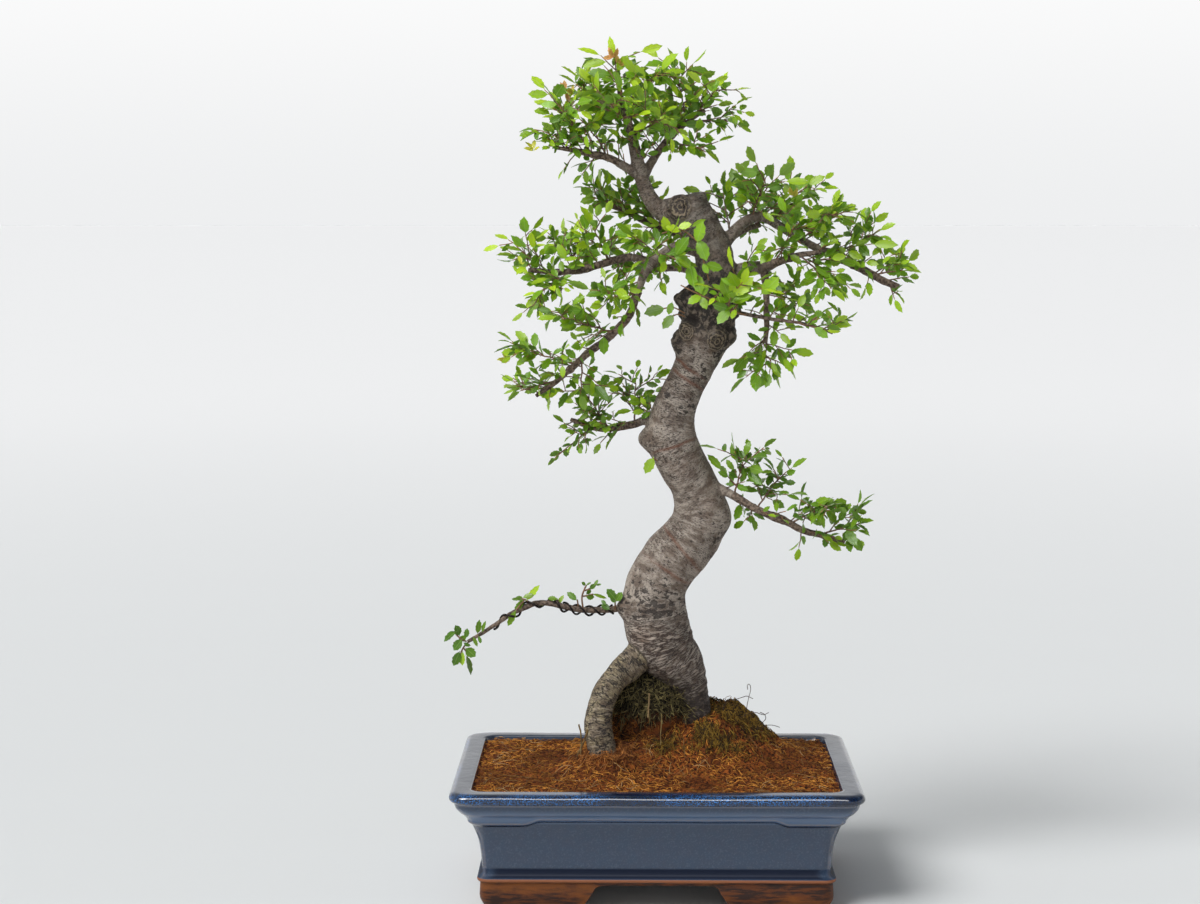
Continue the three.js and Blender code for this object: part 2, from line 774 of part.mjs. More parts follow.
// A leafy twig as one thin arched blade, split into triangles alike on both faces. from is where it
// starts along its own line.
function twigSolid(twig, thick, from = -0.3) {
  const outline = twigOutline(twig, from);
  const count = outline.length;
  const top = outline.map(([along, out]) => onTwig(twig, along, out, thick / 2));
  const bottom = outline.map(([along, out]) => onTwig(twig, along, out, -thick / 2));
  const positions = [...top, ...bottom].flatMap((p) => [p.x, p.y, p.z]);
  const flat = outline.map(([along, out]) => new THREE.Vector2(along, out));
  const index = [];
  for (const [a, b, c] of THREE.ShapeUtils.triangulateShape(flat, [])) {
    index.push(a, b, c, count + a, count + c, count + b);
  }
  for (let i = 0; i < count; i++) {
    const next = (i + 1) % count;
    index.push(i, count + i, next, next, count + i, count + next);
  }
  const geometry = new THREE.BufferGeometry();
  geometry.setAttribute("position", new THREE.Float32BufferAttribute(positions, 3));
  geometry.setIndex(index);
  return solidOf(geometry);
}

// Whether a solid meets any of the others, with a box test first.
function meetsAny(solid, others) {
  const { min, max } = solid.boundingBox();
  return others.some((other) => {
    const apart = [0, 1, 2].some((k) => other.box.min[k] > max[k] || other.box.max[k] < min[k]);
    return !apart && !solid.intersect(other.solid).isEmpty();
  });
}

const CLEAR = 0.8; // extra thickness of the shapes that test for room
const TILTS_TO_TRY = [0, 0.4, -0.4, 0.8, -0.8, 1.2, -1.2];
const ROOT_TOUCH = 2.6; // how much of a twig may touch the shoot that it grows from
const LONG_SHOOT = 56; // a shoot longer than this has a second twig in the solids

// A twig turned about its own line, or up and down about its root.
function turned(twig, axis, angle) {
  const turn = (v) => v.clone().applyAxisAngle(twig[axis], angle);
  return { ...twig, ahead: turn(twig.ahead), across: turn(twig.across), normal: turn(twig.normal) };
}

// One spray, with its shoot and some of its twigs. What would cross another piece is turned clear
// of it, or left out where no way is clear. room is the wood and the wires, grown by the clearance
// that the spray's root keeps to them.
function spraySolid(spec, seed, others, room) {
  const [shoot, ...sides] = growSpray(spec, seed);
  const free = TILTS_TO_TRY.map((angle) => turned(shoot, "ahead", angle)).find(
    (bent) => !meetsAny(twigSolid(bent, LEAF_THICK + CLEAR), others),
  );
  const parts = [];
  const placed = [];
  const place = (twig) => {
    const blade = twigSolid(twig, LEAF_THICK);
    placed.push({ solid: blade, box: blade.boundingBox() });
    parts.push(blade);
  };
  place(free ?? shoot);
  sides.forEach((side, i) => {
    if (i !== 1 && !(i === 4 && shoot.length > LONG_SHOOT)) return;
    const fit = TILTS_TO_TRY.map((angle) => turned(side, "across", angle)).find((bent) => {
      const probe = twigSolid(bent, LEAF_THICK + CLEAR, ROOT_TOUCH);
      return !meetsAny(probe, [...others, room, ...placed]);
    });
    if (fit) place(fit);
  });
  return largestBody(wasm.Manifold.union(parts).subtract(room.solid));
}

// Assembly

const group = new THREE.Group();
const nodes = [];

function addNode(name, solid, colour, roughness, metalness = 0) {
  const material = new THREE.MeshStandardMaterial({ color: colour, roughness, metalness });
  const mesh = new THREE.Mesh(geometryOf(solid), material);
  mesh.name = name;
  group.add(mesh);
  nodes.push({ name, solid, box: solid.boundingBox() });
}

const wood = woodSolid(0);
const woodRoom = woodSolid(GAP);

addNode("pot", potSolid(), COLOURS.glaze, 0.25);
addNode("drain_screen_left", screenSolid(DRAIN_HOLES[0]), COLOURS.screen, 0.6);
addNode("drain_screen_right", screenSolid(DRAIN_HOLES[1]), COLOURS.screen, 0.6);
addNode("soil", soilSolid(woodRoom), COLOURS.soil, 1);
addNode("trunk", wood, COLOURS.bark, 0.85);
let roomSolid = woodRoom;
for (const [name, wire] of Object.entries(WIRES)) {
  addNode(name, wireSolid(wire).subtract(woodRoom), COLOURS.wire, 0.45, 0.6);
  roomSolid = roomSolid.add(wireSolid(wire, GAP));
}

const room = { solid: roomSolid, box: roomSolid.boundingBox() };
SPRAYS.forEach((spec, i) => {
  const others = nodes.filter(({ name }) => name !== "trunk" && !name.startsWith("wire"));
  const spray = spraySolid(spec, SPRAY_SEED + i, others, room);
  const number = String(i + 1).padStart(2, "0");
  addNode(`spray_${number}_${spec[0]}`, spray, COLOURS.leaf, 0.5);
});

const box = new THREE.Box3().setFromObject(group);
group.position.x = -(box.min.x + box.max.x) / 2;
group.position.y = -(box.min.y + box.max.y) / 2;

export default group;
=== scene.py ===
"""Looks for a Chinese elm bonsai in a glazed pot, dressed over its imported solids.

Lengths in the tables and in the building functions are millimetres about the middle of the pot's foot: X to the
right, Y away from the front and Z up from the table. Shape.make turns them into metres in the frame.
"""
import math
from functools import partial

import bpy
import numpy as np
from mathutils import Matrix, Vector
from mathutils.kdtree import KDTree


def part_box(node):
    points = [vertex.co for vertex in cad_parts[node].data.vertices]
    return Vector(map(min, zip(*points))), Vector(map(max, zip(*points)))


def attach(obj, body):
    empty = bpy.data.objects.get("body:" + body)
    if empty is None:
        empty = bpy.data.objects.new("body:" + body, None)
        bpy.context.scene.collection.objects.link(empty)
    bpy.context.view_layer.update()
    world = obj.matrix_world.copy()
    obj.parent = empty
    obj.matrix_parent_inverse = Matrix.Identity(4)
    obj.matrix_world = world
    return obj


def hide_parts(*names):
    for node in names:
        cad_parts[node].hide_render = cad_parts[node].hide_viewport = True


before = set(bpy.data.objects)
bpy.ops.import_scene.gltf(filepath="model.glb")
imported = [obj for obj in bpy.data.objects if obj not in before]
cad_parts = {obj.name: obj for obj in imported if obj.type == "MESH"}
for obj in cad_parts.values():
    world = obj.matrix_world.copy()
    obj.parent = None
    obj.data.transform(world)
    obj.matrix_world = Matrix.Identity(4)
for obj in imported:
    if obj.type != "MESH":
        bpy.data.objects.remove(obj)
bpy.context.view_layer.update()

bl_info = {
    "name": "Chinese Elm Bonsai",
    "version": (1, 0, 0),
    "blender": (4, 5, 0),
    "location": "3D View > Sidebar > Bonsai",
    "description": "Dresses the packed solids of a potted elm with bark, leaves, soil and glaze",
    "category": "Add Mesh",
}

MM = 0.001
POT_LOW, POT_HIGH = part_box("pot")
POT_MIDDLE = np.array([(POT_LOW.x + POT_HIGH.x) / 2, (POT_LOW.y + POT_HIGH.y) / 2, POT_LOW.z])
RIM_WIDTH = (POT_HIGH.x - POT_LOW.x) / MM
RIM_DEPTH = (POT_HIGH.y - POT_LOW.y) / MM
SPRAY_NODES = sorted(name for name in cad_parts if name.startswith("spray_"))

# Routes of the wood, each through points (x, y, z, radius)
TRUNK = [
    (34, 12, 97, 17), (32, 11, 130, 18.5), (32, 10, 152, 17.5), (28, 8, 172, 18), (20, 5, 190, 22.5),
    (8, 2, 207, 27), (2, 0, 224, 28.5), (-1, -1, 243, 27.5), (0, -1, 262, 26.5), (10, 1, 281, 26),
    (25, 4, 299, 26), (36, 6, 316, 24.5), (38, 6, 333, 22.5), (33, 4, 352, 20.5), (22, 1, 372, 21.5),
    (14, -1, 392, 21.5), (14, -2, 412, 19.5), (22, -1, 434, 17.7), (32, 1, 455, 17.3), (40, 2, 476, 20),
    (46, 2, 500, 21), (51, 2, 524, 19), (51, 3, 546, 16.5), (46, 4, 563, 15.5), (37, 4, 576, 16.5),
    (28, 3, 590, 18), (25, 2, 604, 17.2),
]
ARCHED_ROOT = [
    (8, 0, 214, 17), (-8, -4, 206, 15.5), (-24, -10, 193, 12.5), (-38, -17, 181, 11), (-47, -23, 167, 11.5),
    (-50, -27, 150, 12.3), (-49, -29, 132, 12.8), (-45, -29, 112, 12.8), (-42, -28, 97, 12),
]
LIMBS = {
    "crown_stem": [
        (24, 2, 584, 9), (7, 0, 588, 8), (-5, -1, 600, 6.8), (-12, 0, 615, 6), (-16, 0, 630, 5.6),
        (-20, 2, 647, 4.8), (-25, 4, 665, 3.8), (-30, 2, 684, 2.8), (-33, -4, 702, 1.8),
    ],
    "crown_left": [
        (-14, 0, 620, 4.5), (-28, -4, 629, 3.6), (-42, -8, 636, 3.1), (-54, -12, 639, 2.8),
        (-68, -14, 642, 2.2), (-86, -14, 644, 1.5),
    ],
    "crown_right": [
        (-13, 0, 618, 4.8), (-6, 6, 631, 3.8), (3, 12, 645, 3.2), (12, 16, 655, 2.8), (25, 19, 666, 2.2),
        (42, 20, 678, 1.5),
    ],
    "crown_front": [(-20, 0, 646, 3), (-22, -20, 660, 2.4), (-24, -40, 670, 1.6)],
    "crown_back": [(-18, 0, 640, 3.2), (-22, 24, 656, 2.6), (-26, 46, 666, 1.7)],
    "high_left": [(36, 8, 570, 6), (16, 18, 572, 4.2), (-6, 25, 580, 3.2), (-24, 28, 589, 2.6), (-42, 28, 595, 1.8)],
    "upper_left": [
        (44, 0, 556, 8), (22, -8, 560, 6), (3, -14, 552, 4.8), (-10, -18, 539, 4.2), (-17, -21, 520, 3.6),
        (-26, -23, 498, 3.4), (-45, -25, 480, 3.3), (-61, -25, 468, 3.1), (-76, -23, 454, 2.7),
        (-90, -20, 442, 2.2), (-104, -16, 431, 1.6),
    ],
    "middle_left": [
        (-2, -14, 546, 4), (-24, -6, 551, 3.6), (-46, 4, 545, 3.3), (-68, 10, 539, 2.9), (-90, 13, 537, 2.3),
        (-112, 14, 540, 1.6),
    ],
    "small_left": [
        (10, 2, 400, 6), (-8, 7, 408, 4), (-22, 12, 404, 3.4), (-42, 15, 400, 2.8), (-60, 16, 402, 2.1),
        (-76, 16, 408, 1.5),
    ],
    "upper_right": [
        (48, 3, 552, 8), (62, 9, 567, 6), (76, 14, 581, 5), (92, 16, 586, 4.8), (108, 16, 577, 4.4),
        (131, 14, 563, 4), (154, 12, 552, 3.8), (183, 9, 538, 3.4), (210, 6, 524, 3),
    ],
    "lower_right": [
        (52, 4, 530, 9), (76, 0, 540, 6.5), (94, -6, 543, 5), (106, -12, 548, 3.4), (122, -18, 553, 2.6),
        (141, -22, 556, 1.7),
    ],
    "hanging": [(92, -5, 541, 3.6), (95, -10, 521, 3), (95, -12, 500, 2.6), (94, -12, 477, 2)],
    "back_right": [(50, 8, 556, 6), (62, 28, 566, 4), (78, 48, 574, 3), (92, 66, 578, 2)],
    "back_left": [(46, 10, 536, 6), (28, 30, 540, 4), (8, 48, 540, 3), (-14, 62, 536, 2)],
    "young_shoot": [
        (44, -8, 519, 2), (50, -24, 513, 1.9), (62, -29, 507, 1.8), (76, -32, 503, 1.7), (99, -34, 499, 1.5),
        (124, -34, 495, 1.3), (150, -32, 487, 1.1),
    ],
    "middle_right": [
        (44, 4, 352, 7), (58, 0, 348, 4.4), (68, -4, 343, 3.7), (82, -8, 335, 3.3), (96, -11, 328, 3.2),
        (113, -13, 321, 3.1), (129, -14, 314, 2.9), (146, -14, 309, 2.6), (163, -13, 304, 2.3),
    ],
    "wired": [
        (-16, 0, 244, 6), (-33, -3, 243, 3.1), (-49, -5, 242, 2.8), (-64, -7, 242, 2.7), (-79, -9, 245, 2.6),
        (-93, -11, 249, 2.5), (-106, -12, 249, 2.4), (-118, -13, 244, 2.3), (-130, -14, 237, 2.1),
        (-142, -15, 230, 1.9), (-153, -16, 223, 1.7), (-165, -17, 216, 1.4),
    ],
}
STUB_RADIUS = 3.6  # a limb thicker than this is fused into the trunk's own mesh

# Burrs and calluses on the trunk: centre, rise and spread
KNOTS = [
    (20, -12, 481, 10, 11), (25, -4, 515, 17, 11), (48, -24, 486, 8, 10), (64, -6, 479, 5, 9),
    (70, 0, 502, 4, 10), (38, -22, 514, 6, 10), (42, 24, 498, 9, 15), (8, -3, 603, 4, 7), (44, 0, 588, 3, 9),
    (-8, 1, 393, 9, 9), (-28, -2, 244, 7, 9), (60, 2, 322, 5, 12), (16, -6, 475, 9, 7.5), (68, -6, 483, 4.5, 9),
]
# Whorls of callus seen from the front: centre x and z, radius and spacing of the rings
WHORLS = [(26, 487, 6.5, 2.1), (51, 480, 7.5, 2.6), (20, 594, 9, 3.2), (11, 590, 4, 2.2)]
# Small hollows where cuts have rotted: centre x and z, radius and depth
HOLLOWS = [(24, 594, 2.4, 3.5), (31, 497, 4.5, 4), (26, 486, 2.2, 2.2), (45, 492, 2.5, 2), (12, 590, 1.8, 1.5)]
# Grooves that old wires left: a point on the front and the slope across the trunk
WIRE_SCARS = [(24, 447, -0.74), (22, 459, -0.74), (15, 388, 0.35), (20, 300, -1.2), (15, 276, -0.65)]
# Dark flaked patches on the front: centre x and z, half width, half height
DARK_PATCHES = [
    (38, 451, 9, 8), (24, 419, 9, 4), (33, 421, 6, 5), (7, 432, 5, 3), (38, 379, 3, 2), (56, 306, 10, 10),
    (31, 498, 6, 10), (50, 497, 12, 8), (52, 460, 4, 16), (-2, 264, 14, 3), (2, 252, 15, 5), (0, 242, 20, 5),
    (36, 142, 14, 9), (24, 530, 12, 14), (18, 470, 5, 5), (58, 476, 6, 10),
]
STUMP_FACE = ((22, -11, 596), (-0.3, -0.9, 0.3))  # a point on the pruned top and the way it faces

# Training wires round the low left limb
WIRES = {
    "wire_long": {"radius": 1.0, "turns": 5, "phase": 0.6, "start": 0.14, "end": 0.84},
    "wire_short": {"radius": 0.9, "turns": 2, "phase": 3.74, "start": 0.14, "end": 0.42},
}
WIRE_CLEARANCE = 0.45

# Each spray's limb, the station on it and its tip. A fourth entry shrinks its twigs.
SPRAYS = [
    ("crown_left", 4.4, (-88, -20, 656)), ("crown_left", 3.2, (-80, -38, 684)), ("crown_left", 2, (-62, 22, 668)),
    ("crown_stem", 5.6, (-66, 8, 704)), ("crown_stem", 7.4, (-38, -2, 720)), ("crown_stem", 6.4, (-2, -20, 712)),
    ("crown_right", 4, (20, 10, 714)), ("crown_right", 4.4, (50, 6, 698)), ("crown_right", 4.2, (62, 28, 672)),
    ("crown_right", 2.4, (40, -8, 648)), ("crown_right", 3.2, (12, 52, 680)), ("crown_front", 1.2, (-42, -60, 688)),
    ("crown_front", 0.6, (6, -44, 672)), ("crown_back", 1.2, (-36, 62, 690)), ("high_left", 2.6, (-54, 20, 606)),
    ("high_left", 1.6, (-18, 54, 610)), ("middle_left", 4.2, (-116, 6, 558)), ("middle_left", 3, (-84, 34, 572)),
    ("middle_left", 3.4, (-104, 2, 518)), ("middle_left", 1.8, (-52, -20, 576)), ("upper_left", 2, (-6, -52, 560)),
    ("upper_left", 4, (-44, -50, 524)), ("upper_left", 5.6, (-82, -36, 502)), ("upper_left", 7.6, (-116, -40, 474)),
    ("upper_left", 8.8, (-118, -12, 438)), ("upper_left", 7.2, (-66, -12, 434)), ("small_left", 3.8, (-74, 4, 390)),
    ("small_left", 3, (-60, 8, 430)), ("small_left", 1.8, (-20, 22, 444)), ("upper_right", 7.2, (212, -2, 542)),
    ("upper_right", 6, (184, 24, 570)), ("upper_right", 4.8, (152, -8, 592)), ("upper_right", 3.6, (124, 34, 612)),
    ("upper_right", 2.4, (94, -10, 622)), ("upper_right", 1.2, (54, 22, 612)), ("lower_right", 4, (152, -34, 530)),
    ("lower_right", 2.6, (118, -30, 576)), ("hanging", 1, (126, 6, 514)), ("hanging", 2.4, (94, -16, 456)),
    ("young_shoot", 4.6, (144, -40, 490)), ("young_shoot", 1.6, (72, -54, 528)), ("back_right", 2, (100, 82, 586)),
    ("back_left", 2, (-26, 80, 546)), ("middle_right", 6.8, (174, -14, 322)), ("middle_right", 5.2, (148, -32, 342)),
    ("middle_right", 3.4, (108, 10, 362)), ("middle_right", 2, (76, -8, 378)), ("wired", 9.6, (-172, -20, 208), 0.62),
    ("wired", 7.4, (-124, -16, 254), 0.42), ("wired", 3, (-40, -8, 262), 0.42),
]
# How many twiglets fill out a limb's sprays, against its length
FULLNESS = {
    "crown_left": 1.0, "crown_stem": 1.3, "crown_right": 1.2, "crown_front": 1.3, "crown_back": 1.0, "high_left": 1.5,
    "middle_left": 2.9, "upper_left": 1.5, "small_left": 3.1, "upper_right": 1.7, "lower_right": 2.2, "hanging": 1.5,
    "back_right": 1.6, "back_left": 1.6, "young_shoot": 0.9, "middle_right": 1.2, "wired": 0.3,
}
SMALL_LEAVES = {"small_left": 0.76}  # a limb whose sprays have smaller leaves, and by what share
# Big fresh leaves in front of the trunk: root, tip and how young each is
FRESH_LEAVES = [
    (34, -46, 565, 38, -50, 582, 0.1), (16, -44, 554, 26, -50, 569, 0.0), (35, -45, 566, 42, -48, 549, 0.0),
    (42, -45, 546, 55, -50, 542, 0.1), (39, -45, 546, 43, -48, 538, 0.0), (15, -44, 553, 29, -48, 544, 0.1),
    (28, -44, 546, 31, -48, 526, 0.0), (33, -44, 537, 37, -49, 521, 0.1), (36, -45, 519, 43, -49, 528, 0.1),
    (37, -46, 519, 26, -51, 513, 0.3), (37, -46, 518, 42, -50, 508, 0.3), (65, -46, 520, 81, -50, 535, 0.9),
    (64, -46, 521, 66, -48, 536, 0.8), (62, -46, 516, 55, -50, 534, 0.2), (64, -46, 514, 80, -51, 520, 0.2),
    (60, -46, 514, 49, -48, 517, 0.0), (60, -46, 508, 47, -49, 512, 0.0), (61, -46, 507, 51, -52, 496, 0.1),
    (89, -44, 521, 103, -49, 535, 0.3), (9, -44, 574, 5, -49, 586, 0.8), (19, -44, 574, 7, -48, 578, 0.9),
    (18, -44, 577, 29, -47, 580, 0.9), (6, -15, 507, -11, -18, 503, 0.1), (13, -15, 512, 10, -18, 502, 0.1),
    (14, -15, 501, 5, -19, 490, 0.1), (-3, -14, 377, -10, -17, 364, 0.4), (-10, -12, 424, -14, -15, 430, 0.6),
]
# Leaves of the low wired limb, by spray: root x and z, tip x and z, half width against the length and how young
LOW_LEAVES = {
    "spray_48_wired": (-19, [
        (-175, 225, -186, 217, 0.33, 0.0), (-172, 222, -175, 231, 0.36, 0.0), (-166, 220, -165, 228, 0.3, 0.0),
        (-156, 224, -154, 236, 0.22, 0.1), (-152, 225, -149, 235, 0.16, 0.1), (-155, 221, -153, 215, 0.25, 0.0),
        (-170, 218, -177, 209, 0.36, 0.0), (-166, 210, -158, 203, 0.42, 0.0), (-169, 207, -170, 195, 0.28, 0.7),
        (-172, 207, -177, 195, 0.3, 0.0), (-166, 203, -161, 187, 0.26, 0.1), (-160, 220, -156, 212, 0.2, 0.2),
        (-166, 221, -173, 216, 0.3, 0.1), (-168, 215, -162, 213, 0.3, 0.0),
    ]),
    "spray_49_wired": (-16, [
        (-113, 253, -102, 266, 0.16, 1.0), (-116, 255, -107, 258, 0.26, 0.3), (-118, 254, -126, 254, 0.18, 0.1),
        (-116, 252, -122, 256, 0.3, 0.1), (-116, 252, -124, 242, 0.22, 0.2), (-123, 243, -130, 229, 0.18, 0.2),
    ]),
    "spray_50_wired": (-11, [
        (-87, 253, -95, 254, 0.3, 0.2), (-86, 248, -89, 254, 0.32, 0.1), (-86, 248, -81, 256, 0.2, 0.5),
        (-98, 249, -103, 247, 0.3, 0.1), (-70, 252, -78, 259, 0.27, 0.0), (-62, 265, -65, 268, 0.3, 0.1),
        (-61, 265, -57, 268, 0.28, 0.1), (-58, 262, -53, 266, 0.34, 0.0), (-54, 265, -51, 270, 0.24, 0.1),
        (-53, 265, -48, 266, 0.2, 0.1), (-61, 257, -57, 261, 0.34, 0.0), (-61, 255, -54, 254, 0.36, 0.1),
        (-55, 257, -43, 253, 0.12, 0.4), (-36, 253, -43, 262, 0.34, 0.0), (-35, 251, -30, 259, 0.34, 0.1),
        (-36, 250, -40, 254, 0.34, 0.0), (-41, 244, -48, 248, 0.36, 0.0), (-44, 248, -48, 252, 0.3, 0.0),
    ]),
}
# The twigs that carry them, as points (x, y, z)
LOW_TWIGS = {
    "spray_48_wired": [[(-160, -16, 218), (-166, -18, 214), (-170, -19, 208), (-171, -19, 203)],
                       [(-166, -17, 216), (-171, -19, 219), (-176, -19, 224)], [(-168, -18, 210), (-164, -19, 205)]],
    "spray_49_wired": [[(-110, -13, 250), (-115, -16, 253), (-119, -16, 254)], [(-115, -16, 253), (-122, -16, 244)]],
    "spray_50_wired": [[(-64, -8, 243), (-65, -10, 254), (-63, -11, 261), (-61, -11, 265)],
                       [(-64, -10, 255), (-55, -11, 257)],
                       [(-63, -11, 260), (-58, -11, 262), (-53, -11, 265)], [(-36, -6, 243), (-36, -10, 252)],
                       [(-68, -8, 243), (-69, -10, 252)], [(-86, -10, 247), (-86, -11, 252)]],
}
# Tufts of leaves that have just opened: place, how many leaves and how red they are
BUDS = [
    (-37, -5, 722, 6, 1.0), (-33, -2, 716, 4, 0.8), (-79, -12, 693, 5, 1.0), (-72, -10, 690, 3, 0.6),
    (-106, -18, 642, 4, 0.4), (-127, -30, 462, 4, 0.4), (118, 6, 602, 3, 0.5), (-117, -12, 546, 2, 0.2),
]
# How far along a limb its own leafy twigs start, and how many there are
LIMB_TWIGS = {
    "crown_stem": (0.5, 14), "crown_left": (0.25, 15), "crown_right": (0.25, 12), "high_left": (0.3, 8),
    "middle_left": (0.12, 18), "upper_left": (0.1, 17), "small_left": (0.15, 11), "upper_right": (0.3, 20),
    "lower_right": (0.2, 10), "hanging": (0.15, 6), "back_right": (0.4, 4), "back_left": (0.4, 4),
    "young_shoot": (0.3, 7), "middle_right": (0.15, 12),
}
# Thin twigs in front of the trunk that carry the fresh leaves, as points (x, y, z)
FRESH_TWIGS = [
    [(20, -42, 528), (30, -46, 523), (50, -46, 514), (63, -44, 507), (76, -36, 502)],
    [(4, -42, 572), (20, -44, 575), (35, -45, 563), (40, -45, 546), (44, -40, 532)],
    [(28, -18, 552), (16, -42, 553), (28, -44, 546), (34, -45, 534), (36, -46, 519)],
    [(62, -45, 507), (61, -46, 513), (64, -46, 521)], [(24, -14, 503), (14, -15, 508), (6, -15, 507)],
    [(24, -12, 500), (18, -14, 502), (13, -15, 500)], [(2, -12, 374), (-3, -14, 377)],
]
SPRAY_SEED = 101
LEAF_PITCH = 6.3
END_DROOP = 0.1
SIDE_VEINS = 9
LEAF_CREASE = math.radians(70)  # edges that fold more than this are shaded as sharp
POT_CREASE = math.radians(50)
CLUMP_SIDES, CLUMP_LEVELS = 64, 40  # points round the moss clump and rings from its bottom to its top
WALL_LEVELS = 98  # rings of points from the pot's foot to its rim


def linear(hex_colour):
    """A colour written as an sRGB hex value, as linear red, green, blue and alpha."""
    shares = [int(hex_colour[i:i + 2], 16) / 255 for i in (1, 3, 5)]
    return tuple(s / 12.92 if s <= 0.04045 else ((s + 0.055) / 1.055) ** 2.4 for s in shares) + (1.0,)


def smooth(low, high, value):
    """0 below low, 1 above high, with a soft step between them."""
    share = np.clip((value - low) / (high - low), 0, 1)
    return share * share * (3 - 2 * share)


def unit(vectors):
    return vectors / np.maximum(np.linalg.norm(vectors, axis=-1, keepdims=True), 1e-9)


def noise(points, cell, seed=0):
    """Smooth noise between -1 and 1. cell is the size of its lumps in millimetres, one or one for each axis."""
    scaled = np.asarray(points, float) / np.asarray(cell, float)
    corner = np.floor(scaled).astype(np.int64)
    part = scaled - corner
    fade = part * part * (3 - 2 * part)
    total = np.zeros(len(scaled))
    for step in np.ndindex(2, 2, 2):
        x, y, z = (corner + step).T
        mixed = x * 73856093 ^ y * 19349663 ^ z * 83492791 ^ seed * 2971215073
        mixed = (mixed ^ mixed >> 13) * 1274126177
        value = ((mixed ^ mixed >> 16) & 65535) / 32767.5 - 1
        total += value * np.prod(np.where(step, fade, 1 - fade), axis=1)
    return total


def layered(points, cell, layers=3, seed=0):
    """Noise with finer layers on top, each half the size and half the height of the one before."""
    cell = np.asarray(cell, float)
    return sum(noise(points, cell / 2 ** i, seed + i) / 2 ** i for i in range(layers))


class Route:
    """A smooth route through points (x, y, z, radius), the same curve as the solids follow."""

    def __init__(self, rows):
        self.rows = np.array(rows, float)

    def at(self, stations):
        """Points and radii at stations: 2.5 is halfway between the third and the fourth point."""
        rows = self.rows
        stations = np.clip(np.atleast_1d(np.asarray(stations, float)), 0, len(rows) - 1)
        span = np.minimum(stations.astype(int), len(rows) - 2)
        part = (stations - span)[:, None]
        padded = np.vstack([2 * rows[0] - rows[1], rows, 2 * rows[-1] - rows[-2]])
        before, here, there, after = (padded[span + i] for i in range(4))
        leave, arrive = (there - before) / 2, (after - here) / 2
        bend = 3 * (there - here) - 2 * leave - arrive
        twist = 2 * (here - there) + leave + arrive
        return here + leave * part + bend * part ** 2 + twist * part ** 3

    def walk(self, step=2.0, start=0.0, end=None):
        """Even steps along the route, each with its centre, radius, directions and distance from the start."""
        end = len(self.rows) - 1 if end is None else end
        stations = np.linspace(start, end, int(40 * (end - start)) + 2)
        dense = self.at(stations)
        gone = np.concatenate([[0], np.cumsum(np.linalg.norm(np.diff(dense[:, :3], axis=0), axis=1))])
        along = np.linspace(0, gone[-1], max(int(gone[-1] / step) + 1, 3))
        placed = self.at(np.interp(along, gone, stations))
        return Walk(placed[:, :3], placed[:, 3], along)


class Walk:
    """Centres along a route with a frame at each: ahead, and a normal that turns no more than the route does."""

    def __init__(self, centre, radius, along):
        self.centre, self.radius, self.along = centre, radius, along
        self.ahead = unit(np.gradient(centre, axis=0))
        first = self.ahead[0]
        normal = np.cross(first, unit(np.cross(first, np.eye(3)[np.abs(first).argmin()])))
        normals = []
        for ahead in self.ahead:
            normal = unit(normal - ahead * (normal @ ahead))
            normals.append(normal)
        self.normal = np.array(normals)
        self.across = np.cross(self.ahead, self.normal)

    def nearest(self, points):
        """The index of the nearest centre to each point."""
        tree = KDTree(len(self.centre))
        for i, centre in enumerate(self.centre):
            tree.insert(centre, i)
        tree.balance()
        return np.array([tree.find(point)[1] for point in points])

    def straightened(self, points, index):
        """Where points would be if the limb were pulled straight, so that patterns run round it and along it."""
        away = points - self.centre[index]
        out = [np.einsum("ij,ij->i", away, axis[index]) for axis in (self.normal, self.across, self.ahead)]
        return np.stack([out[0], out[1], out[2] + self.along[index]], axis=1)


def tubes(centres, radii, sides, normals=None):
    """Closed round tubes along many routes of equal length at once, as points and faces."""
    count, rings = radii.shape
    ahead = unit(np.gradient(centres, axis=1))
    if normals is None:
        axis = np.eye(3)[np.abs(ahead).max(axis=1).argmin(axis=1)][:, None, :]
        normals = unit(np.cross(ahead, np.broadcast_to(axis, ahead.shape)))
    across = np.cross(ahead, normals)
    turn = np.arange(sides) * 2 * math.pi / sides
    out = normals[:, :, None] * np.cos(turn)[:, None] + across[:, :, None] * np.sin(turn)[:, None]
    points = centres[:, :, None] + out * radii[:, :, None, None]
    first = np.arange(count)[:, None, None] * rings * sides + np.arange(rings - 1)[None, :, None] * sides
    here = (first + np.arange(sides)).ravel()
    there = (first + (np.arange(sides) + 1) % sides).ravel()
    quads = np.stack([here, there, there + sides, here + sides], axis=1)
    root = (np.arange(count) * rings * sides)[:, None]
    fan = np.arange(1, sides - 1)
    ends = []
    for offset, a, b in ((0, fan + 1, fan), ((rings - 1) * sides, fan, fan + 1)):
        base = root + offset
        ends.append(np.stack([np.broadcast_to(base, (count, len(fan))), base + a, base + b], axis=2).reshape(-1, 3))
    return points.reshape(-1, 3), [quads, *ends]


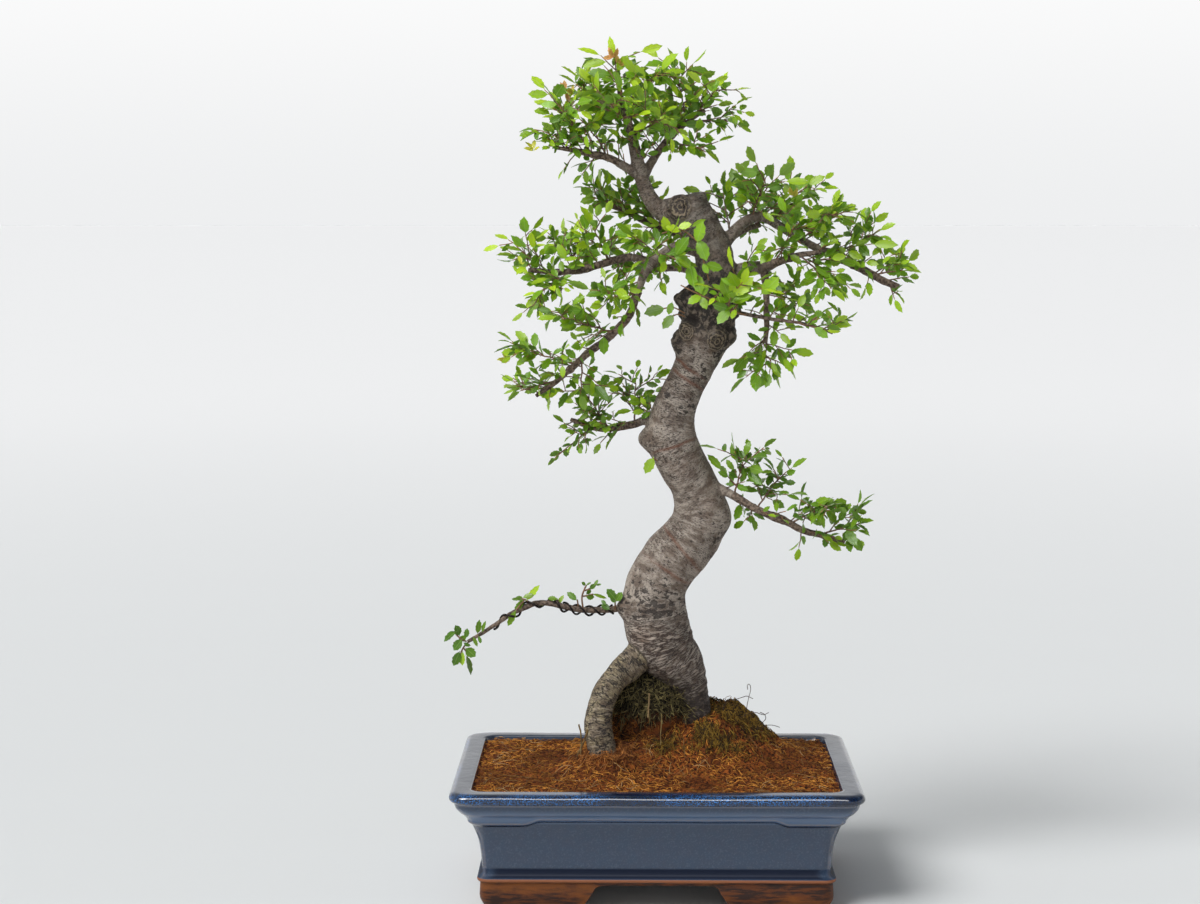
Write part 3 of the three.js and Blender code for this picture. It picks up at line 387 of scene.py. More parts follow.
class Shape:
    """Points and faces gathered for one mesh, with named values for each point."""

    def __init__(self):
        self.points, self.faces, self.finishes, self.marks, self.count = [], [], [], {}, 0

    def add(self, points, faces, finish=0, **marks):
        points = np.asarray(points, float)
        for group in faces:
            self.faces.append(np.asarray(group) + self.count)
            self.finishes.append(np.full(len(group), finish))
        for name, values in marks.items():
            self.marks.setdefault(name, []).append((self.count, np.asarray(values, float)))
        self.points.append(points)
        self.count += len(points)

    def make(self, name, materials, slot, nodes=(), rides=True):
        """The mesh as a piece of the object, which stands for the CAD nodes that it names."""
        mesh = bpy.data.meshes.new(name)
        points = np.concatenate(self.points) * MM + POT_MIDDLE
        sizes = np.concatenate([np.full(len(group), group.shape[1]) for group in self.faces])
        corners = np.concatenate([group.ravel() for group in self.faces])
        mesh.vertices.add(len(points))
        mesh.vertices.foreach_set("co", points.astype(np.float32).ravel())
        mesh.loops.add(len(corners))
        mesh.loops.foreach_set("vertex_index", corners.astype(np.int32))
        mesh.polygons.add(len(sizes))
        mesh.polygons.foreach_set("loop_start", np.concatenate([[0], np.cumsum(sizes)[:-1]]).astype(np.int32))
        mesh.polygons.foreach_set("material_index", np.concatenate(self.finishes).astype(np.int32))
        for mark, parts in self.marks.items():
            wide = parts[0][1].ndim == 2
            values = np.zeros((self.count, 3) if wide else self.count)
            for start, part in parts:
                values[start:start + len(part)] = part
            set_mark(mesh, mark, values)
        for material in materials:
            mesh.materials.append(material)
        mesh.update(calc_edges=True)
        mesh.validate()
        mesh.shade_smooth()
        piece = bpy.data.objects.new(name, mesh)
        bpy.context.scene.collection.objects.link(piece)
        return dress(piece, nodes) if rides else piece


def set_mark(mesh, name, values):
    """Stores a value, or three, for each point of a mesh, for its material to read."""
    kind, field = ("FLOAT_VECTOR", "vector") if values.ndim == 2 else ("FLOAT", "value")
    attribute = mesh.attributes.new(name, kind, "POINT")
    attribute.data.foreach_set(field, values.astype(np.float32).ravel())


def dress(piece, nodes=()):
    """Fastens a finished piece to the frame."""
    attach(piece, "root")
    if nodes:
        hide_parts(*nodes)
    return piece


def points_of(mesh):
    """A mesh's points in millimetres about the middle of the pot's foot."""
    points = np.empty(len(mesh.vertices) * 3, np.float32)
    mesh.vertices.foreach_get("co", points)
    return (points.reshape(-1, 3) - POT_MIDDLE) / MM


def put_points(mesh, points):
    mesh.vertices.foreach_set("co", (points * MM + POT_MIDDLE).astype(np.float32).ravel())
    mesh.update()


def normals_of(mesh):
    normals = np.empty(len(mesh.vertices) * 3, np.float32)
    mesh.vertices.foreach_get("normal", normals)
    return normals.reshape(-1, 3).astype(float)


def apply_modifiers(piece):
    """Turns a piece's modifiers into plain mesh."""
    graph = bpy.context.evaluated_depsgraph_get()
    graph.update()
    made = bpy.data.meshes.new_from_object(piece.evaluated_get(graph))
    old = piece.data
    piece.modifiers.clear()
    piece.data = made
    bpy.data.meshes.remove(old)
    return made


def relax(mesh, points, rounds, share=0.5):
    """Moves each point towards the middle of its neighbours."""
    edges = np.empty(len(mesh.edges) * 2, np.int32)
    mesh.edges.foreach_get("vertices", edges)
    a, b = edges.reshape(-1, 2).T
    count = np.maximum(np.bincount(np.concatenate([a, b]), minlength=len(points)), 1)[:, None]
    for _ in range(rounds):
        total = np.stack([
            np.bincount(a, points[b, k], len(points)) + np.bincount(b, points[a, k], len(points)) for k in range(3)
        ], axis=1)
        points = points + share * (total / count - points)
    return points


# Materials

# The nodes that the patterns are made of: type, settings, the sockets that the inputs go to in order, and the
# output that is passed on. A kind in capitals is an operation of a Math node.
NODES = {
    "object": ("TexCoord", {}, (), "Object"),
    "direction": ("TexCoord", {}, (), "Generated"),
    "mark": ("Attribute", {}, (), "Fac"),
    "marks": ("Attribute", {}, (), "Vector"),
    "split": ("SeparateXYZ", {}, (0,), None),
    "scale": ("VectorMath", {"operation": "SCALE"}, (0, "Scale"), "Vector"),
    "stretch": ("VectorMath", {"operation": "MULTIPLY"}, (0, 1), "Vector"),
    "length": ("VectorMath", {"operation": "LENGTH"}, (0,), "Value"),
    "noise": ("TexNoise", {}, ("Vector", "Scale", "Detail", "Roughness"), "Fac"),
    "mix": ("Mix", {"data_type": "RGBA", "clamp_factor": True}, ("Factor", 6, 7), 2),
    "range": ("MapRange", {}, ("Value", "From Min", "From Max", "To Min", "To Max"), "Result"),
    "bump": ("Bump", {}, ("Height", "Distance", "Strength", "Normal"), "Normal"),
}
NODES["step"] = ("MapRange", {"interpolation_type": "SMOOTHSTEP"}, *NODES["range"][2:])


def feed(node, sockets):
    """Links inputs of a node to other nodes' outputs, or gives them plain values."""
    for key, value in sockets.items():
        if isinstance(value, bpy.types.NodeSocket):
            node.id_data.links.new(value, node.inputs[key])
        else:
            node.inputs[key].default_value = value


def add_node(tree, kind, *values, **settings):
    """Adds a node with its settings and inputs, and gives its output, or all of them where the table names none."""
    made, usual, sockets, output = NODES.get(kind) or ("Math", {"operation": kind}, (0, 1), 0)
    node = tree.nodes.new("ShaderNode" + made)
    for name, value in {**usual, **settings}.items():
        setattr(node, name, value)
    feed(node, dict(zip(sockets, values)))
    return node.outputs if output is None else node.outputs[output]


def new_material(name, **values):
    """A material, its shader with the values that are the same all over, and the function that adds a node to it."""
    material = bpy.data.materials.new(name)
    material.use_nodes = True
    shader = next(node for node in material.node_tree.nodes if node.type == "BSDF_PRINCIPLED")
    feed(shader, {socket.replace("_", " "): value for socket, value in values.items()})
    return material, shader, partial(add_node, material.node_tree)


def place(add):
    """The object's own coordinates in millimetres."""
    return add("scale", add("object"), 1 / MM)


def grain(add, where, size, detail=2.0, stretch=(1, 1, 1), roughness=0.5):
    """A pattern with lumps of so many millimetres, wider along an axis where stretch is over 1."""
    return add("noise", add("stretch", where, [1 / (size * s) for s in stretch]), 1.0, detail, roughness)


def bark_material(settings):
    """Elm bark: smooth and grey with pale bloom and rows of dark lenticels, flaking to brown where it is old."""
    material, shader, add = new_material("elm_bark", Roughness=0.75, IOR=1.45)
    straight = add("marks", attribute_name="straight")
    zones, cuts, age = (add("split", add("marks", attribute_name=name)) for name in ("zones", "cuts", "age"))
    slender = add("mark", attribute_name="slender")
    bloom = grain(add, straight, 7, 5, (2, 2, 1), 0.65)
    colour = add("mix", add("step", bloom, 0.38, 0.62), linear("#65574b"), linear("#a1968a"))
    warm = grain(add, straight, 24, 3)
    colour = add("mix", add("step", warm, 0.45, 0.7, 0, 0.45), colour, linear("#6b5342"))
    lichen = add("step", grain(add, straight, 7, 4, (1, 1, 1.6), 0.65), 0.38, 0.64)
    root = add("mix", lichen, settings.root_colour, linear("#9b8d69"))
    colour = add("mix", add("MULTIPLY", age["X"], 0.75), colour, root)
    # Lenticels are short cross-wise dashes about half a millimetre high
    dashes = grain(add, straight, 0.95, 2, (2.4, 2.4, 0.8), 0.6)
    level = add("SUBTRACT", 0.67, add("MULTIPLY", zones["Y"], 0.13))
    specks = add("step", add("SUBTRACT", dashes, level), -0.015, 0.03)
    colour = add("mix", add("MULTIPLY", specks, 0.85), colour, linear("#2a1f19"))
    # Wrinkles run round the limb, two to three millimetres apart
    folds = grain(add, straight, 1.9, 3, (6, 6, 1), 0.6)
    middle = add("ABSOLUTE", add("SUBTRACT", folds, 0.5))
    lines = add("MULTIPLY", add("step", middle, 0.015, 0.06, 1.0, 0.0), zones["Z"])
    ridges = add("MULTIPLY", add("step", folds, 0.55, 0.68), add("MULTIPLY", zones["Z"], 0.6))
    colour = add("mix", ridges, colour, linear("#b3a598"))
    colour = add("mix", add("MULTIPLY", lines, 0.9), colour, linear("#33211a"))
    # The arched root has checked across with deep dark cracks
    checks = grain(add, straight, 5, 3, (3, 3, 1), 0.6)
    middle = add("ABSOLUTE", add("SUBTRACT", checks, 0.5))
    cracks = add("MULTIPLY", add("step", middle, 0.01, 0.035, 1.0, 0.0), age["X"])
    colour = add("mix", add("MULTIPLY", cracks, 0.9), colour, linear("#1d1612"))
    # Old bark is dark brown in its cracks and ashen on its scales
    crust = grain(add, straight, 4.5, 5, (1, 1, 1.2), 0.7)
    old = add("mix", add("step", crust, 0.45, 0.6), linear("#19120d"), linear("#7d6f60"))
    colour = add("mix", add("MULTIPLY", zones["X"], 0.92), colour, old)
    ragged = add("step", grain(add, straight, 2.2, 4, (1.6, 1.6, 0.8), 0.7), 0.25, 0.75, -0.45, 0.45)
    dark = add("step", add("ADD", add("MULTIPLY", cuts["Y"], 0.85), ragged), 0.5, 0.62)
    colour = add("mix", add("MULTIPLY", dark, 0.85), colour, linear("#231913"))
    rings, share = callus_rings(add, straight, cuts, age)
    colour = add("mix", share, colour, add("mix", rings, linear("#281d15"), linear("#918068")))
    colour = add("mix", add("MULTIPLY", cuts["X"], 0.85), colour, settings.scar_colour)
    damp = add("MULTIPLY", age["Y"], add("step", crust, 0.4, 0.62, 0.95, 0.5))
    colour = add("mix", damp, colour, linear("#2c2018"))
    thin = add("mix", add("step", grain(add, straight, 2.4, 2), 0.35, 0.65), linear("#44352b"), linear("#857160"))
    colour = add("mix", slender, colour, thin)
    colour = add("mix", 1.0, colour, settings.bark_tint, blend_type="MULTIPLY")
    fine = grain(add, straight, 0.9, 3, (1.6, 1.6, 0.9), 0.6)
    low = add("bump", add("SUBTRACT", fine, specks), 0.5 * MM)
    coarse = add("SUBTRACT", add("MULTIPLY", zones["X"], add("MULTIPLY", crust, 3.0)), cracks)
    wrinkle = add("MULTIPLY", add("SUBTRACT", folds, lines), zones["Z"])
    height = add("ADD", coarse, add("ADD", wrinkle, add("MULTIPLY", share, rings)))
    relief = add("bump", add("SUBTRACT", height, add("MULTIPLY", dark, 0.4)), MM, 1.0, low)
    feed(shader, {"Base Color": colour, "Normal": relief})
    return material


def callus_rings(add, straight, cuts, age):
    """The uneven rings of callus round old cuts, and how far each point of the bark belongs to them."""
    wobble = add("MULTIPLY", grain(add, straight, 4, 3, (1, 1, 1), 0.65), 2.5)
    turns = add("MULTIPLY", add("ADD", age["Z"], wobble), 2 * math.pi)
    rings = add("step", add("COSINE", turns), -0.6, 0.9)
    broken = add("step", grain(add, straight, 3, 3, (1, 1, 1), 0.7), 0.34, 0.54, 0.35, 0.95)
    return rings, add("MULTIPLY", cuts["Z"], broken)


def twig_material():
    """Young elm bark: thin, red-brown and slightly glossy, green at the growing tip."""
    material, shader, add = new_material("young_twig_bark", Roughness=0.55, IOR=1.45)
    where = place(add)
    young = add("mark", attribute_name="young")
    brown = add("mix", add("step", grain(add, where, 2, 2), 0.35, 0.65), linear("#4d3529"), linear("#7c5a44"))
    colour = add("mix", young, brown, linear("#a0713f"))
    feed(shader, {"Base Color": colour, "Normal": add("bump", grain(add, where, 0.6, 2), 0.2 * MM)})
    return material


def leaf_material(settings):
    """Elm leaf: thin waxy skin over green flesh, with a pale midrib and sunken side veins, dull underneath."""
    material, shader, add = new_material(
        "elm_leaf", Roughness=0.42, IOR=1.42, Specular_IOR_Level=0.4, Subsurface_Weight=0.12,
        Subsurface_Radius=(0.6, 1.0, 0.2), Subsurface_Scale=1.2 * MM,
    )
    at = add("split", add("marks", attribute_name="leaf_at"))
    kind = add("split", add("marks", attribute_name="leaf_kind"))
    where = place(add)
    # Each leaf is painted between the deep green and the green in the light: partly its own tone, partly painted
    # light and shade
    green = add("mix", kind["X"], settings.deep_colour, settings.leaf_colour)
    patch = add("step", grain(add, where, 5, 2), 0.3, 0.7, 0.0, 0.35)
    green = add("mix", patch, green, linear("#577f16"))
    green = add("mix", kind["Y"], green, settings.young_colour)
    green = add("mix", kind["Z"], green, settings.bud_colour)
    out = add("ABSOLUTE", at["X"])
    # Side veins slant forward from the midrib, nine to a side
    slant = add("SUBTRACT", at["Y"], add("MULTIPLY", out, 0.26))
    wave = add("MULTIPLY", slant, 2 * math.pi * SIDE_VEINS)
    veins = add("step", add("COSINE", wave), 0.72, 1.0)
    rib = add("step", out, 0.03, 0.09, 1.0, 0.0)
    green = add("mix", add("MULTIPLY", veins, 0.22), green, linear("#86a844"))
    green = add("mix", add("MULTIPLY", rib, 0.4), green, linear("#93b155"))
    lower = add("step", at["Z"], 0.04, 0.15)
    colour = add("mix", add("MULTIPLY", lower, 0.45), green, linear("#6b8a45"))
    dull = add("range", lower, 0, 1, 0.3, 0.7)
    relief = add("bump", add("ADD", veins, rib), 0.12 * MM, 0.7)
    feed(shader, {"Base Color": colour, "Roughness": dull, "Normal": relief})
    return material


def glaze_material(settings, name="slate_blue_glaze", roughness=0.14, gloss=0.5):
    """Reduction-fired glaze: glassy slate blue, navy where it pools and grey-brown where it runs thin on an edge,
    with painted shade under the panels' top step and painted highlight lines on the ridges and under the lip.
    """
    material, shader, add = new_material(
        name, Roughness=roughness, IOR=1.52, Specular_IOR_Level=gloss, Coat_Roughness=0.05,
    )
    where = place(add)
    zone = add("split", add("marks", attribute_name="glaze_zone"))
    mottle = grain(add, where, 9, 4, (1, 1, 1), 0.6)
    colour = add("mix", add("step", mottle, 0.38, 0.66), settings.glaze_colour, linear("#26384f"))
    haze = grain(add, where, 1.6, 3, (1, 1, 1), 0.7)
    colour = add("mix", add("step", haze, 0.5, 0.66, 0.0, 0.45), colour, linear("#445264"))
    rim = add("mix", add("step", grain(add, where, 10, 4), 0.4, 0.62), settings.rim_colour, linear("#2b3444"))
    colour = add("mix", zone["X"], colour, rim)
    height = add("split", where)["Z"]
    cove = add("MULTIPLY", add("step", height, 76, 80), add("step", height, 86, 93, 0.8, 0.0))
    colour = add("mix", cove, colour, linear("#4d6483"))
    # Blue crystals float in the thick glaze of the lip, most of them along its middle
    specks = add("step", grain(add, where, 1.0, 2, (1.4, 1, 1), 0.7), 0.5, 0.6)
    drift = add("step", grain(add, where, 60, 1, (1, 1, 1)), 0.42, 0.56, 0.1, 1.0)
    specks = add("MULTIPLY", add("MULTIPLY", specks, drift), add("step", height, 90, 96))
    deep = add("mix", specks, settings.pool_colour, linear("#2d6cb0"))
    # Navy where the glaze pools, and the same navy as painted shade under the panels' top step
    colour = add("mix", zone["Y"], colour, deep)
    # Pale grey where the glaze runs thin on the corners, and the same pale colour as painted highlight lines along
    # the ridges and under the lip
    thin = add("mix", add("step", haze, 0.4, 0.65), linear("#6e7484"), linear("#7c6f68"))
    colour = add("mix", zone["Z"], colour, thin)
    low = add("bump", grain(add, where, 14, 2), 0.5 * MM, 0.5)
    feed(shader, {"Base Color": colour, "Normal": add("bump", haze, 0.04 * MM, 0.6, low)})
    # The walls are glassy, and the rim is worn dull
    if gloss >= 0.5:
        feed(shader, {"Coat Weight": add("step", zone["X"], 0, 1, 0.3, 0.0)})
    return material


def clay_material(settings):
    """Unglazed stoneware foot: brown fired clay, wiped with iron wash, that shows darker streaks along the band."""
    material, shader, add = new_material("unglazed_stoneware", Roughness=0.5, Specular_IOR_Level=0.3)
    where = place(add)
    streaks = grain(add, where, 3, 5, (7, 7, 1), 0.65)
    colour = add("mix", add("step", streaks, 0.42, 0.58), linear("#260f04"), settings.clay_colour)
    rub = grain(add, where, 14, 3, (2.5, 2.5, 1))
    colour = add("mix", add("step", rub, 0.48, 0.66, 0.0, 0.65), colour, linear("#7a4208"))
    parts = add("split", where)
    colour = add("mix", add("step", parts["Z"], 25.0, 26.2, 0.0, 0.9), colour, linear("#8a5334"))
    # Painted shade: the hollow under the pot, and the gaps between its feet where they reach it, are darkened
    painted_shade_under_pot = add("MAXIMUM", *hollow_shares(add, parts))
    colour = add("mix", add("step", painted_shade_under_pot, 0.97, 1.01, 0.9, 0.0), colour, linear("#150c08"))
    feed(shader, {"Base Color": colour, "Normal": add("bump", grain(add, where, 1.2, 3), 0.25 * MM, 0.7)})
    return material


def hollow_shares(add, parts):
    """How far out a point lies, in X and in Y, against the hollow under the pot."""
    middle = POT_MIDDLE / MM
    shares = []
    for axis, size, centre in zip("XY", UNDERSIDE, middle):
        away = add("ABSOLUTE", add("SUBTRACT", parts[axis], centre))
        shares.append(add("DIVIDE", away, size / 2))
    return shares


def soil_material(settings):
    """Damp soil between the fibres: rust brown on its crumbs, and near black in its gaps, which is partly dark soil
    and partly painted shade.
    """
    material, shader, add = new_material("damp_soil_with_painted_shade", Roughness=0.95, IOR=1.4, Specular_IOR_Level=0.2)
    where = place(add)
    crumbs = grain(add, where, 1.9, 4, (1.3, 1.3, 1), 0.72)
    # Painted shade, partly dark soil: near black in the gaps between the crumbs, where the bump sinks
    colour = add("mix", add("step", crumbs, 0.42, 0.56), linear("#1c0c04"), settings.soil_colour)
    patches = grain(add, where, 22, 2)
    colour = add("mix", add("step", patches, 0.45, 0.65, 0, 0.5), colour, linear("#45230d"))
    feed(shader, {"Base Color": colour, "Normal": add("bump", crumbs, 2 * MM)})
    return material


def fibre_material(name, dark, light):
    """Plant fibre: dry and matt, each strand of its own shade."""
    material, shader, add = new_material(name, Roughness=0.85, IOR=1.45, Specular_IOR_Level=0.2)
    shade = add("mark", attribute_name="shade")
    colour = add("mix", shade, dark, light)
    streak = add("step", grain(add, place(add), 1.5, 2), 0.35, 0.65, 0.0, 0.3)
    feed(shader, {"Base Color": add("mix", streak, colour, dark)})
    return material


def wire_material(settings):
    """Anodised aluminium wire: a brown oxide film over the metal, with a soft long highlight."""
    material, shader, add = new_material("brown_anodised_wire", Roughness=0.38, Metallic=0.75)
    film = add("step", grain(add, place(add), 3, 2), 0.3, 0.7)
    colour = add("mix", film, settings.wire_colour, linear("#15110f"))
    feed(shader, {"Base Color": colour, "Normal": add("bump", grain(add, place(add), 0.5, 2), 0.02 * MM)})
    return material


def screen_material():
    """Extruded polyethylene mesh: soft black plastic with a faint grain."""
    material, shader, add = new_material("polyethylene_mesh", Roughness=0.6, IOR=1.51)
    grit = grain(add, place(add), 0.8, 2)
    colour = add("mix", grit, linear("#17191b"), linear("#2b2f31"))
    feed(shader, {"Base Color": colour, "Normal": add("bump", grit, 0.05 * MM)})
    return material


# Wood

def on_knots(points):
    """Rise of the trunk's skin at points: its burrs, and a slow unevenness all over."""
    uneven = 0.9 * np.sin(points[:, 2] * 0.11 + points[:, 0] * 0.13) * np.sin(points[:, 1] * 0.17)
    for x, y, z, rise, spread in KNOTS:
        uneven = uneven + rise * np.exp(-np.sum((points - (x, y, z)) ** 2, axis=1) / spread ** 2)
    return uneven


def swollen_tube(shape, walk, sides, knots):
    """A tube along a walk, raised by the burrs near it."""
    points, faces = tubes(walk.centre[None], walk.radius[None], sides, walk.normal[None])
    if knots:
        centre = np.repeat(walk.centre, sides, axis=0)
        points = points + unit(points - centre) * on_knots(points)[:, None]
    shape.add(points, faces)


def stub_end(rows):
    """The station up to which a limb is thick enough to be part of the trunk's own mesh."""
    thick = [i for i, row in enumerate(rows) if row[3] >= STUB_RADIUS]
    return thick[-1] + 0.5 if len(thick) > 1 else 0


def whorl_field(points):
    """The callus round old cuts: where it is, and how many rings out from its middle each point lies."""
    where, turns = np.zeros(len(points)), np.zeros(len(points))
    front = smooth(4, -4, points[:, 1])
    for x, z, radius, pitch in WHORLS:
        away = np.hypot(points[:, 0] - x, (points[:, 2] - z) * 0.85)
        share = smooth(1.2, 0.85, away / radius) * front
        turns = np.where(share > where, away / pitch, turns)
        where = np.maximum(where, share)
    return where, turns


def hollows(points):
    """How deep the small hollows of rotted cuts are at points."""
    front = smooth(4, -4, points[:, 1])
    depth = np.zeros(len(points))
    for x, z, radius, deep in HOLLOWS:
        away = np.hypot(points[:, 0] - x, points[:, 2] - z)
        depth = np.maximum(depth, deep * np.exp(-(away / radius) ** 2) * front)
    return depth


def trunk_marks(points, straight, on_trunk, on_root):
    """Where the bark is old, speckled or wrinkled, where it is scarred, dark or whorled, and where it is damp."""
    z = points[:, 2]
    patchy = layered(points, 16, 3, 5)
    old = smooth(468, 490, z + 7 * patchy) * (1 - 0.7 * smooth(525, 570, z)) * on_trunk
    old = np.maximum(old, (1 - smooth(120, 156, z + 12 * patchy)) * on_trunk * 0.7)
    speckled = np.clip(0.5 + 0.3 * smooth(280, 330, z) + 0.5 * patchy, 0, 1)
    wrinkled = (smooth(105, 135, z) * (1 - smooth(222, 256, z))) * on_trunk + 0.45 * on_root
    wrinkled = np.clip(wrinkled + 0.3 * smooth(250, 300, z) * on_trunk, 0, 1)
    front = smooth(6, -6, points[:, 1])
    scar = np.zeros(len(points))
    for x, height, slope in WIRE_SCARS:
        away = np.abs(z - height - slope * (points[:, 0] - x) - 1.2 * noise(points, 9, 12)) / math.hypot(1, slope)
        near = np.exp(-((points[:, 0] - x) / 20) ** 2) * (np.abs(z - height) < 40)
        scar = np.maximum(scar, np.exp(-(away / 1.3) ** 2) * near * on_trunk)
    ragged = layered(straight, (6, 6, 3.4), 3, 9)
    flakes = layered(straight, (5, 5, 2.0), 3, 10)
    dark = np.zeros(len(points))
    for x, height, wide, high in DARK_PATCHES:
        away = ((points[:, 0] - x) / wide) ** 2 + ((z - height) / high) ** 2
        stain = smooth(0.15, 0.45, 1 - away + 0.9 * ragged) * (away < 2.2) * smooth(-0.35, 0.1, flakes)
        dark = np.maximum(dark, stain)
    band = smooth(230, 240, z) * (1 - smooth(262, 284, z)) * on_trunk
    dark = np.maximum(dark, band * smooth(0.12, 0.4, flakes))
    dark = np.maximum(dark, 0.6 * on_trunk * smooth(0.74, 0.92, flakes + 0.25 * speckled))
    dark = np.maximum(dark, smooth(0.4, 1.6, hollows(points)))
    whorl, turns = whorl_field(points)
    zones = np.stack([old * (1 - 0.6 * whorl), speckled, wrinkled], axis=1)
    damp = on_trunk * (1 - smooth(160, 190, z + 10 * patchy)) + on_root * (1 - smooth(108, 128, z + 6 * patchy))
    damp = np.maximum(damp, smooth(176, 150, z) * smooth(-6, 10, points[:, 1]) * 0.8)
    age = np.stack([on_root, np.clip(damp, 0, 1), turns], axis=1)
    return zones, np.stack([scar * front, dark * front, whorl], axis=1), age


def bark_relief(points, straight, zones, cuts):
    """How far the bark stands out or in at points, in millimetres."""
    old, _, wrinkled = zones.T
    folds = noise(straight, (15, 15, 3.6), 1) + 0.5 * noise(straight, (8, 8, 1.9), 2)
    relief = 0.6 * wrinkled * folds * (1 - 0.5 * old)
    plates = np.abs(noise(straight, (6, 6, 9), 4)) + 0.6 * np.abs(noise(straight, (3, 3, 4), 14))
    relief = relief + old * (1.9 * layered(straight, (9, 9, 9), 3, 3) + 2.2 * (plates - 0.45))
    relief = relief + 0.8 * noise(points, 30, 6)
    whorl, turns = whorl_field(points)
    relief = relief - 0.9 * cuts[:, 0] - 0.35 * cuts[:, 1] - hollows(points)
    return relief + whorl * (1.1 + 1.3 * np.exp(-((turns - 2.2) / 1.2) ** 2))


def cut_stump(points):
    """Flattens the trunk's top to the slanting face that pruning left."""
    at, way = (np.array(v, float) for v in STUMP_FACE)
    way = unit(way)
    beyond = (points - at) @ way
    near = (points[:, 2] > 572) & (beyond > 0) & (points[:, 0] > 5)
    return points - way * (beyond * near * 0.95)[:, None]


def build_trunk(settings):
    """The trunk, the arched root and the thick starts of the limbs, fused and barked."""
    shape = Shape()
    walks = {"trunk": Route(TRUNK).walk(2.0), "root": Route(ARCHED_ROOT).walk(2.0)}
    for name, rows in LIMBS.items():
        if stub_end(rows):
            walks[name] = Route(rows).walk(1.5, 0, stub_end(rows))
    for name, walk in walks.items():
        swollen_tube(shape, walk, 48 if name == "trunk" else 24, name in ("trunk", "root"))
    material = bark_material(settings)
    trunk = shape.make("trunk_and_root", [material], "bark", rides=False)
    remesh = trunk.modifiers.new("fuse", "REMESH")
    remesh.mode = "VOXEL"
    remesh.voxel_size = settings.skin_step
    mesh = apply_modifiers(trunk)
    points = relax(mesh, points_of(mesh), 5)
    points = cut_stump(points)
    best = np.full(len(points), np.inf)
    straight = np.zeros_like(points)
    owner = np.zeros(len(points), int)
    for number, walk in enumerate(walks.values()):
        index = walk.nearest(points)
        away = np.linalg.norm(points - walk.centre[index], axis=1) - walk.radius[index]
        closer = away < best
        best[closer] = away[closer]
        straight[closer] = walk.straightened(points[closer], index[closer])
        owner[closer] = number
    zones, cuts, age = trunk_marks(points, straight, (owner == 0).astype(float), (owner == 1).astype(float))
    put_points(mesh, points)
    relief = bark_relief(points, straight, zones, cuts)
    put_points(mesh, points + normals_of(mesh) * relief[:, None])
    set_mark(mesh, "straight", straight)
    set_mark(mesh, "zones", zones)
    set_mark(mesh, "cuts", cuts)
    set_mark(mesh, "age", age)
    set_mark(mesh, "slender", np.where(owner > 1, 0.35, 0.0))
    if not mesh.materials:
        mesh.materials.append(material)
    mesh.shade_smooth()
    dress(trunk, ["trunk"])
    return material


def build_limbs(material):
    """The thin limbs, from where they leave the thick wood."""
    shape = Shape()
    sides = 12
    for number, rows in enumerate(LIMBS.values()):
        start = max(stub_end(rows) - 0.6, 0)
        walk = Route(rows).walk(1.6, start)
        seed = 40 + number
        ring = np.repeat(np.arange(len(walk.along)), sides)
        # Elm limbs are knobbly where twigs were cut, every centimetre or two
        knob = smooth(0.35, 0.85, noise(np.stack([walk.along, 0 * walk.along, 0 * walk.along], axis=1), 7, seed))
        radius = walk.radius * (1 + 0.28 * knob)
        sway = np.stack([noise(walk.centre, 14, seed + k) for k in (1, 2, 3)], axis=1)
        ends = smooth(0, 12, walk.along)
        centre = walk.centre + sway * (0.8 * ends)[:, None]
        points, faces = tubes(centre[None], radius[None], sides, walk.normal[None])
        straight = walk.straightened(points, ring)
        straight[:, 2] += 1000 * number
        points = points + unit(points - centre[ring]) * (0.22 * layered(straight, 3, 2, seed))[:, None]
        slender = smooth(6.5, 3.2, walk.radius)[ring]
        zones = np.stack([0.25 + 0 * slender, 0.6 + 0 * slender, 0.5 + 0 * slender], axis=1)
        shape.add(points, faces, straight=straight, zones=zones, cuts=0 * zones, age=0 * zones, slender=slender)
    shape.make("limbs", [material], "bark")


def build_wires(settings):
    """The training wires, each a smooth coil round the low limb."""
    material = wire_material(settings)
    limb = Route(LIMBS["wired"]).walk(0.5)
    length = limb.along[-1]
    for name, wire in WIRES.items():
        count = wire["turns"] * 28 + 1
        share = np.linspace(wire["start"], wire["end"], count)
        index = np.clip(np.round(share * length / 0.5).astype(int), 0, len(limb.along) - 1)
        angle = wire["phase"] + np.linspace(0, wire["turns"], count) * 2 * math.pi
        reach = limb.radius[index] + wire["radius"] + WIRE_CLEARANCE
        out = limb.normal[index] * np.cos(angle)[:, None] + limb.across[index] * np.sin(angle)[:, None]
        centre = limb.centre[index] + out * reach[:, None]
        points, faces = tubes(centre[None], np.full((1, count), wire["radius"]), 12)
        shape = Shape()
        shape.add(points, faces)
        shape.make("training_" + name, [material], "wire", [name])


# Leaves

def seeded_draw(seed):
    """Draws between 0 and 1, the same ones that the solids' sprays grow by."""
    state = seed

    def draw():
        nonlocal state
        state = (state + 0x6D2B79F5) & 0xFFFFFFFF
        t = ((state ^ (state >> 15)) * (1 | state)) & 0xFFFFFFFF
        t = ((t + (((t ^ (t >> 7)) * (61 | t)) & 0xFFFFFFFF)) & 0xFFFFFFFF) ^ t
        return ((t ^ (t >> 14)) & 0xFFFFFFFF) / 4294967296

    return draw


